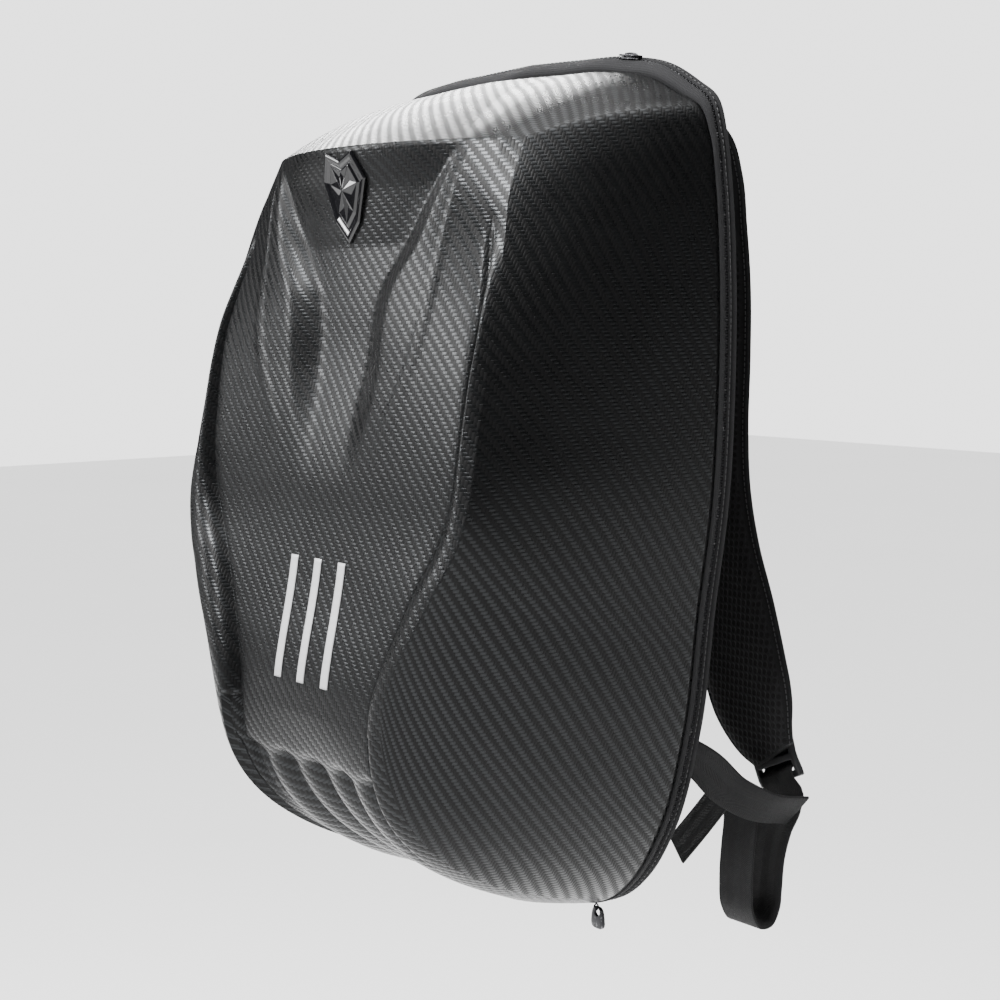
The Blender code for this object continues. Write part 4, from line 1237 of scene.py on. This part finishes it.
def makeStraps():
    line = routeLine(strapRows, strapColumns, strapSet["steps"], strapSet["stand"])
    frames = lineFrames(line, Vector((0, 1, 0)))
    widths = line["width"] * strapSet["width"]
    run = line["run"]
    ends = ease(0.0, strapSet["seatRun"], run / run[-1]) * ease(1.0, strapSet["lockRun"], run / run[-1])
    thicks = strapSet["thick"] * (strapSet["lean"] + strapSet["swell"] * ends)
    crease = 1.0 - strapSet["crease"] * np.exp(-((run - strapSet["creaseAt"]) / strapSet["creaseHalf"]) ** 2)
    profile = strapProfile()
    vs = profileRun(profile, strapSet["width"], strapSet["thick"])
    for label, side in (("right", 1), ("left", -1)):
        loops = sweepLoops(line, frames, profile, widths, thicks * crease, side)
        strap = addPiece("strap" + label.title(), strapFabric, *skinLoops(loops, True, run, vs))
        # the side towards the wearer is air mesh
        strap.data.materials.append(airMesh)
        for index in range((len(loops) - 1) * len(profile)):
            u, v = profile[index % len(profile)]
            strap.data.polygons[index].material_index = int(v < 0 and abs(u) * 2 < strapSet["edgeShare"])
        finishPiece(strap, "strap_fabric", "strap_" + label)
        edges = thicks * strapSet["edgeThick"] * strapSet["seamSink"]
        seams = zip(*sweepLoops(line, frames, strapSet["seams"], widths, edges, side))
        runStitches("strapStitches" + label.title(), [(seam, False) for seam in seams], "strap_fabric",
                    *strapSet["stitch"])


def lockPlane():
    return strapRows[-1][1] * strapSet["stand"] + strapSet["thick"] / 2 + bag["gap"] + lockSet["thick"] / 2


def lockRows(path):
    # Table rows for places given on the lock
    lean = math.radians(lockSet["tilt"])
    rows = []
    for up, off in path:
        half = lockSet["place"][0] - math.sin(lean) * up * mm / bag["halfWidth"]
        height = lockSet["place"][1] + math.cos(lean) * up * mm / bag["height"]
        rows.append((half, 1.0 + off * mm / lockPlane(), height, 0, lockSet["tilt"]))
    return tuple(rows)


def makeWebbingRuns():
    upper = list(webbingSet["half"])
    profile = [(-u, -v) for u, v in upper] + upper
    width, thick = webbingSet["width"], webbingSet["thick"]
    reach = webbingSet["tackReach"]
    tackLine = [(u, webbingSet["tackLift"]) for u in np.linspace(-reach, reach, webbingSet["tackSpots"])]
    anchorPlane = lockPlane() - thick - bag["gap"]
    runs = {
        # rows, steps, reach, heading, stations of the bar tacks near the sewn end, node
        "anchor": (anchorRows, 48, anchorPlane, Vector((0, 1, 0)), (3, 5), "anchor_webbing_"),
        "loop": (lockRows(threadPath) + loopRows, 150, lockPlane(), None, (), "webbing_loop_"),
        "tab": (lockRows(tabPath), 40, lockPlane(), None, (3, 5), ""),
        "end": (endRows, 30, lockPlane(), None, (2, 3), "webbing_end_"),
    }
    vs = profileRun(profile, width, thick)
    for kind, (rows, steps, plane, heading, tacks, node) in runs.items():
        line = routeLine(rows, webbingColumns, steps, plane)
        frames = lineFrames(line, heading)
        for label, side in (("right", 1), ("left", -1)):
            loops = sweepLoops(line, frames, profile, width, thick, side)
            name = kind.title() + label.title()
            piece = addPiece("webbing" + name, wovenWebbing, *skinLoops(loops, True, line["run"], vs))
            finishPiece(piece, "webbing", *([node + label] if node else []))
            if tacks:
                threads = sweepLoops(line, frames, tackLine, width, thick, side)
                runStitches("tacks" + name, [(threads[k], False) for k in tacks], "webbing",
                            *webbingSet["tack"])


def makeLocks():
    half, height = lockSet["place"]
    thick = lockSet["thick"]
    side, top, bar = lockSet["width"] / 2, lockSet["height"] / 2, lockSet["bar"] / 2
    xs = (-side, lockSet["side"] - side, side - lockSet["side"], side)
    zs = (-top, lockSet["bar"] - top, -bar, bar, top - lockSet["bar"], top)
    for label, way in (("right", 1), ("left", -1)):
        shape = bmesh.new()
        corners = {(i, j): shape.verts.new((x, 0.0, z)) for i, x in enumerate(xs) for j, z in enumerate(zs)}
        for i in range(3):
            for j in range(5):
                if (i, j) not in ((1, 1), (1, 3)):
                    shape.faces.new((corners[i, j], corners[i + 1, j], corners[i + 1, j + 1], corners[i, j + 1]))
        grown = bmesh.ops.extrude_face_region(shape, geom=shape.faces[:])
        moved = [item for item in grown["geom"] if isinstance(item, bmesh.types.BMVert)]
        bmesh.ops.translate(shape, verts=moved, vec=(0, thick, 0))
        # the outer bars lean out and the middle bar sits back, as on a moulded lock
        for vert in shape.verts:
            if abs(vert.co.z) > top - 0.1 * mm:
                vert.co.y = thick * lockSet["outerLean"] if vert.co.y < 1e-6 else thick
            if abs(vert.co.z) < bar + 0.1 * mm and vert.co.y > 1e-6:
                vert.co.y = thick * lockSet["middleBack"]
        place = (way * half * bag["halfWidth"], lockPlane() + panelRear + bag["gap"] - thick / 2, atHeight(height))
        lock = standShape(shape, "ladderLock" + label.title(), mouldedPlastic, place,
                          -way * math.radians(lockSet["tilt"]))
        lock = bakeWith(lock, "BEVEL", width=lockSet["edge"], segments=3)
        lock.data.shade_smooth()
        finishPiece(lock, "black_plastic", "ladder_lock_" + label)


makeStraps()
makeWebbingRuns()
makeLocks()
print("straps, webbing and locks ready")

# Zip sliders and pull

sliderSet = {
    "length": 15 * mm, "width": 6.3 * mm, "thick": 2.5 * mm, "top": 0.53, "base": 0.38, "bow": 0.7 * mm,
    "sunk": 0.7 * mm, "edge": 0.28 * mm, "bowShare": 0.62, "bowWire": 0.55 * mm,
    # lower plate, neck and upper plate, narrow at one end: from, to, share of the outline
    "plates": ((0.0, 0.30, 1.0), (0.30, 0.62, 0.55), (0.62, 1.0, 1.0)),
    "outline": ((-1, 0.62), (-0.55, 1.0), (0.75, 0.9), (1, 0.5), (1, -0.5), (0.75, -0.9), (-0.55, -1.0), (-1, -0.62)),
}
pullSet = {
    "length": 13 * mm, "width": 11.5 * mm, "thick": 2 * mm, "ring": (1.5 * mm, 1.9 * mm), "ringDrop": 1.2 * mm,
    "wire": 0.5 * mm, "spots": 32, "power": 0.62, "taper": 0.14, "eye": (0.36, 0.42), "eyeUp": 0.26, "hang": 0.55,
    # outline, growth and depth of the tab's rings, from the eye over the rim and back
    "rings": (("eye", 1.0, -0.75), ("eye", 1.12, -1.0), ("rim", 0.90, -1.0), ("rim", 1.0, -0.65), ("rim", 1.0, 0.65),
              ("rim", 0.90, 1.0), ("eye", 1.12, 1.0), ("eye", 1.0, 0.75)),
}


def rimSeat(half, above):
    wrong = (outerRim[:, 1] > 0) != above
    index = int(np.argmin(np.abs(outerRim[:, 0] - half) + bag["height"] * wrong))
    along = outerRim[index + 1] - outerRim[index - 1]
    return outerRim[index], outerNormals[index], math.atan2(along[1], along[0])


def roundBar(points, radius, sides=12):
    spots = [Vector(p) for p in points]
    loops = []
    for k, spot in enumerate(spots):
        along = (spots[min(k + 1, len(spots) - 1)] - spots[max(k - 1, 0)]).normalized()
        across = Vector((0, 1, 0))
        if abs(along.dot(across)) > 0.9:
            across = Vector((1, 0, 0))
        across = (across - along * across.dot(along)).normalized()
        other = along.cross(across)
        loops.append([tuple(spot + (across * math.cos(a) + other * math.sin(a)) * radius)
                      for a in np.linspace(0, 2 * math.pi, sides + 1)[:-1]])
    return loops


def makeSlider(name, node, half, above):
    spot, normal, slope = rimSeat(half * bag["halfWidth"], above)
    y = bandFront + bag["bandDepth"] * bandSet["zipAt"]
    length, width, thick = sliderSet["length"] / 2, sliderSet["width"] / 2, sliderSet["thick"]
    shape = bmesh.new()

    def addShape(points, faces):
        verts = [shape.verts.new(p) for p in points]
        for face in faces:
            shape.faces.new([verts[k] for k in face])

    for low, high, grow in sliderSet["plates"]:
        addShape(*skinLoops([[(u * length * grow, v * width * grow, level * thick)
                              for u, v in sliderSet["outline"]] for level in (low, high)])[:2])
    bmesh.ops.recalc_face_normals(shape, faces=shape.faces)
    bmesh.ops.bevel(shape, geom=shape.edges[:], offset=sliderSet["edge"], segments=2, profile=0.5, affect="EDGES")
    # bow that the pull hangs on
    bow = [(math.cos(a) * length * sliderSet["bowShare"], 0.0, thick + math.sin(a) * sliderSet["bow"])
           for a in np.linspace(math.pi, 0, 13)]
    addShape(*skinLoops(roundBar(bow, sliderSet["bowWire"]))[:2])
    place = (spot[0] - normal[0] * sliderSet["sunk"], y, spot[1] - normal[1] * sliderSet["sunk"])
    slider = standShape(shape, name, blackenedMetal, place, -slope if above else math.pi - slope)
    slider = bakePiece(slider)
    slider.data.shade_smooth()
    slider.data.set_sharp_from_angle(angle=math.radians(35))
    finishPiece(slider, "zip_metal", node)
    return spot, normal, y


def makePull(spot, normal, y):
    # Ring through the bow, then a flat tab with a rounded end and a hole
    reach = bag["gap"] + sliderSet["thick"]
    topX, topZ = spot[0] + normal[0] * reach, spot[1] + normal[1] * reach
    deep, high = pullSet["ring"]
    ring = [(topX, y + math.sin(a) * deep, topZ - pullSet["ringDrop"] + math.cos(a) * high)
            for a in np.linspace(0, 2 * math.pi, 25)]
    points, faces = skinLoops(roundBar(ring, pullSet["wire"], 8), capped=False)[:2]
    width, length, thick = pullSet["width"] / 2, pullSet["length"], pullSet["thick"] / 2
    eyeWide, eyeHigh = pullSet["eye"]
    eyeUp = length * pullSet["eyeUp"]
    outlines = {"rim": [], "eye": []}
    for a in np.linspace(0, 2 * math.pi, pullSet["spots"] + 1)[:-1]:
        c, s = math.cos(a), math.sin(a)
        x, z = (math.copysign(abs(part) ** pullSet["power"], part) for part in (c, s))
        taper = 1 - pullSet["taper"] * (1 + z)
        outlines["rim"].append((x * width * taper, z * length / 2))
        outlines["eye"].append((c * width * eyeWide, s * width * eyeHigh + eyeUp))
    centreX, centreZ = (top + way * length * pullSet["hang"] for top, way in zip((topX, topZ), normal))
    rings = []
    for kind, grow, depth in pullSet["rings"]:
        middle = eyeUp if kind == "eye" else 0.0
        rings.append([(centreX + x * grow, y + depth * thick, centreZ + middle + (z - middle) * grow)
                      for x, z in outlines[kind]])
    tabPoints, tabFaces = skinLoops(rings, capped=False, closed=True)[:2]
    faces += [tuple(k + len(points) for k in face) for face in tabFaces]
    pull = addPiece("zipPull", blackenedMetal, points + tabPoints, faces)
    pull.data.set_sharp_from_angle(angle=math.radians(40))
    finishPiece(pull, "zip_metal", "zip_pull_bottom")


makeSlider("zipSliderTop", "zip_slider_top", sliderSet["top"], True)
makePull(*makeSlider("zipSliderBottom", "zip_slider_bottom", sliderSet["base"], False))
print("sliders ready")

# Floor, light and camera

stageSet = {
    "floorDrop": 0.85,
    "floorSize": 24.0,
    "floorPale": grey(0.88),
    "floorDeep": grey(0.84),
    "floorNoise": (0.8, 2.0),
    "floorRoughness": 0.85,
    "background": 2.6,
    "dome": 9.5,
    "domeFrom": (0.80, 0.97),       # height of the sky direction where the soft dome starts and is full
    "ambient": 0.03,
    "lights": (
        # name, place, aimed at, width, height, watts
        ("overBack", (-1.53, 0.84, 1.10), (0.0, -0.08, 0.12), 0.85, 0.6, 33.0),
        ("frontHigh", (0.0, -1.60, 1.75), (0.0, -0.10, 0.1), 1.0, 0.7, 185.0),
        ("frontLeft", (-1.48, -1.52, 0.86), (0.0, -0.1, 0.1), 0.6, 1.25, 64.0),
    ),
}


def makeStage():
    bpy.ops.mesh.primitive_grid_add(x_subdivisions=4, y_subdivisions=4, size=stageSet["floorSize"],
                                    location=(0, 0, bagBottom - stageSet["floorDrop"]))
    floor = bpy.context.object
    floor.name = "studioFloor"
    material, tree, shader = newMaterial("paleFloor")
    patches = objectNoise(tree, *stageSet["floorNoise"])
    colour = blendColour(tree, patches, stageSet["floorPale"], stageSet["floorDeep"])
    tree.links.new(colour, shader.inputs["Base Color"])
    shader.inputs["Roughness"].default_value = stageSet["floorRoughness"]
    floor.data.materials.append(material)
    for name, place, aim, wide, high, watts in stageSet["lights"]:
        light = bpy.data.lights.new(name, "AREA")
        light.shape = "RECTANGLE"
        light.size = wide
        light.size_y = high
        light.energy = watts
        lamp = linkObject(name, light)
        lamp.location = place
        lamp.rotation_euler = (Vector(aim) - Vector(place)).to_track_quat("-Z", "Y").to_euler()
    # white where the camera looks past the bag, dim for the light that falls on it
    world = bpy.data.worlds.new("paleStudio")
    world.use_nodes = True
    bpy.context.scene.world = world
    tree = world.node_tree
    sky = addNode(tree, "ShaderNodeSeparateXYZ", {0: addNode(tree, "ShaderNodeTexCoord").outputs["Generated"]})
    dome = remap(tree, sky.outputs["Z"], *stageSet["domeFrom"], stageSet["ambient"], stageSet["dome"])
    seen = addNode(tree, "ShaderNodeLightPath").outputs["Is Camera Ray"]
    strength = remap(tree, seen, 0.0, 1.0, dome, stageSet["background"])
    tree.nodes["Background"].inputs["Color"].default_value = (1, 1, 1, 1)
    tree.links.new(strength, tree.nodes["Background"].inputs["Strength"])


cameraSet = {"azimuth": 50.0, "elevation": 6.1, "distance": 0.947, "target": (0.066, -0.0953, -0.002), "lens": 64.19,
             "sensor": 36.0}


def makeCamera():
    data = bpy.data.cameras.new("photoView")
    data.lens = cameraSet["lens"]
    data.sensor_width = cameraSet["sensor"]
    camera = linkObject("photoView", data)
    azimuth, elevation = math.radians(cameraSet["azimuth"]), math.radians(cameraSet["elevation"])
    away = Vector((math.sin(azimuth) * math.cos(elevation), -math.cos(azimuth) * math.cos(elevation),
                   math.sin(elevation)))
    camera.location = Vector(cameraSet["target"]) + away * cameraSet["distance"]
    camera.rotation_euler = (-away).to_track_quat("-Z", "Y").to_euler()
    bpy.context.scene.camera = camera


makeStage()
makeCamera()
print("stage ready")
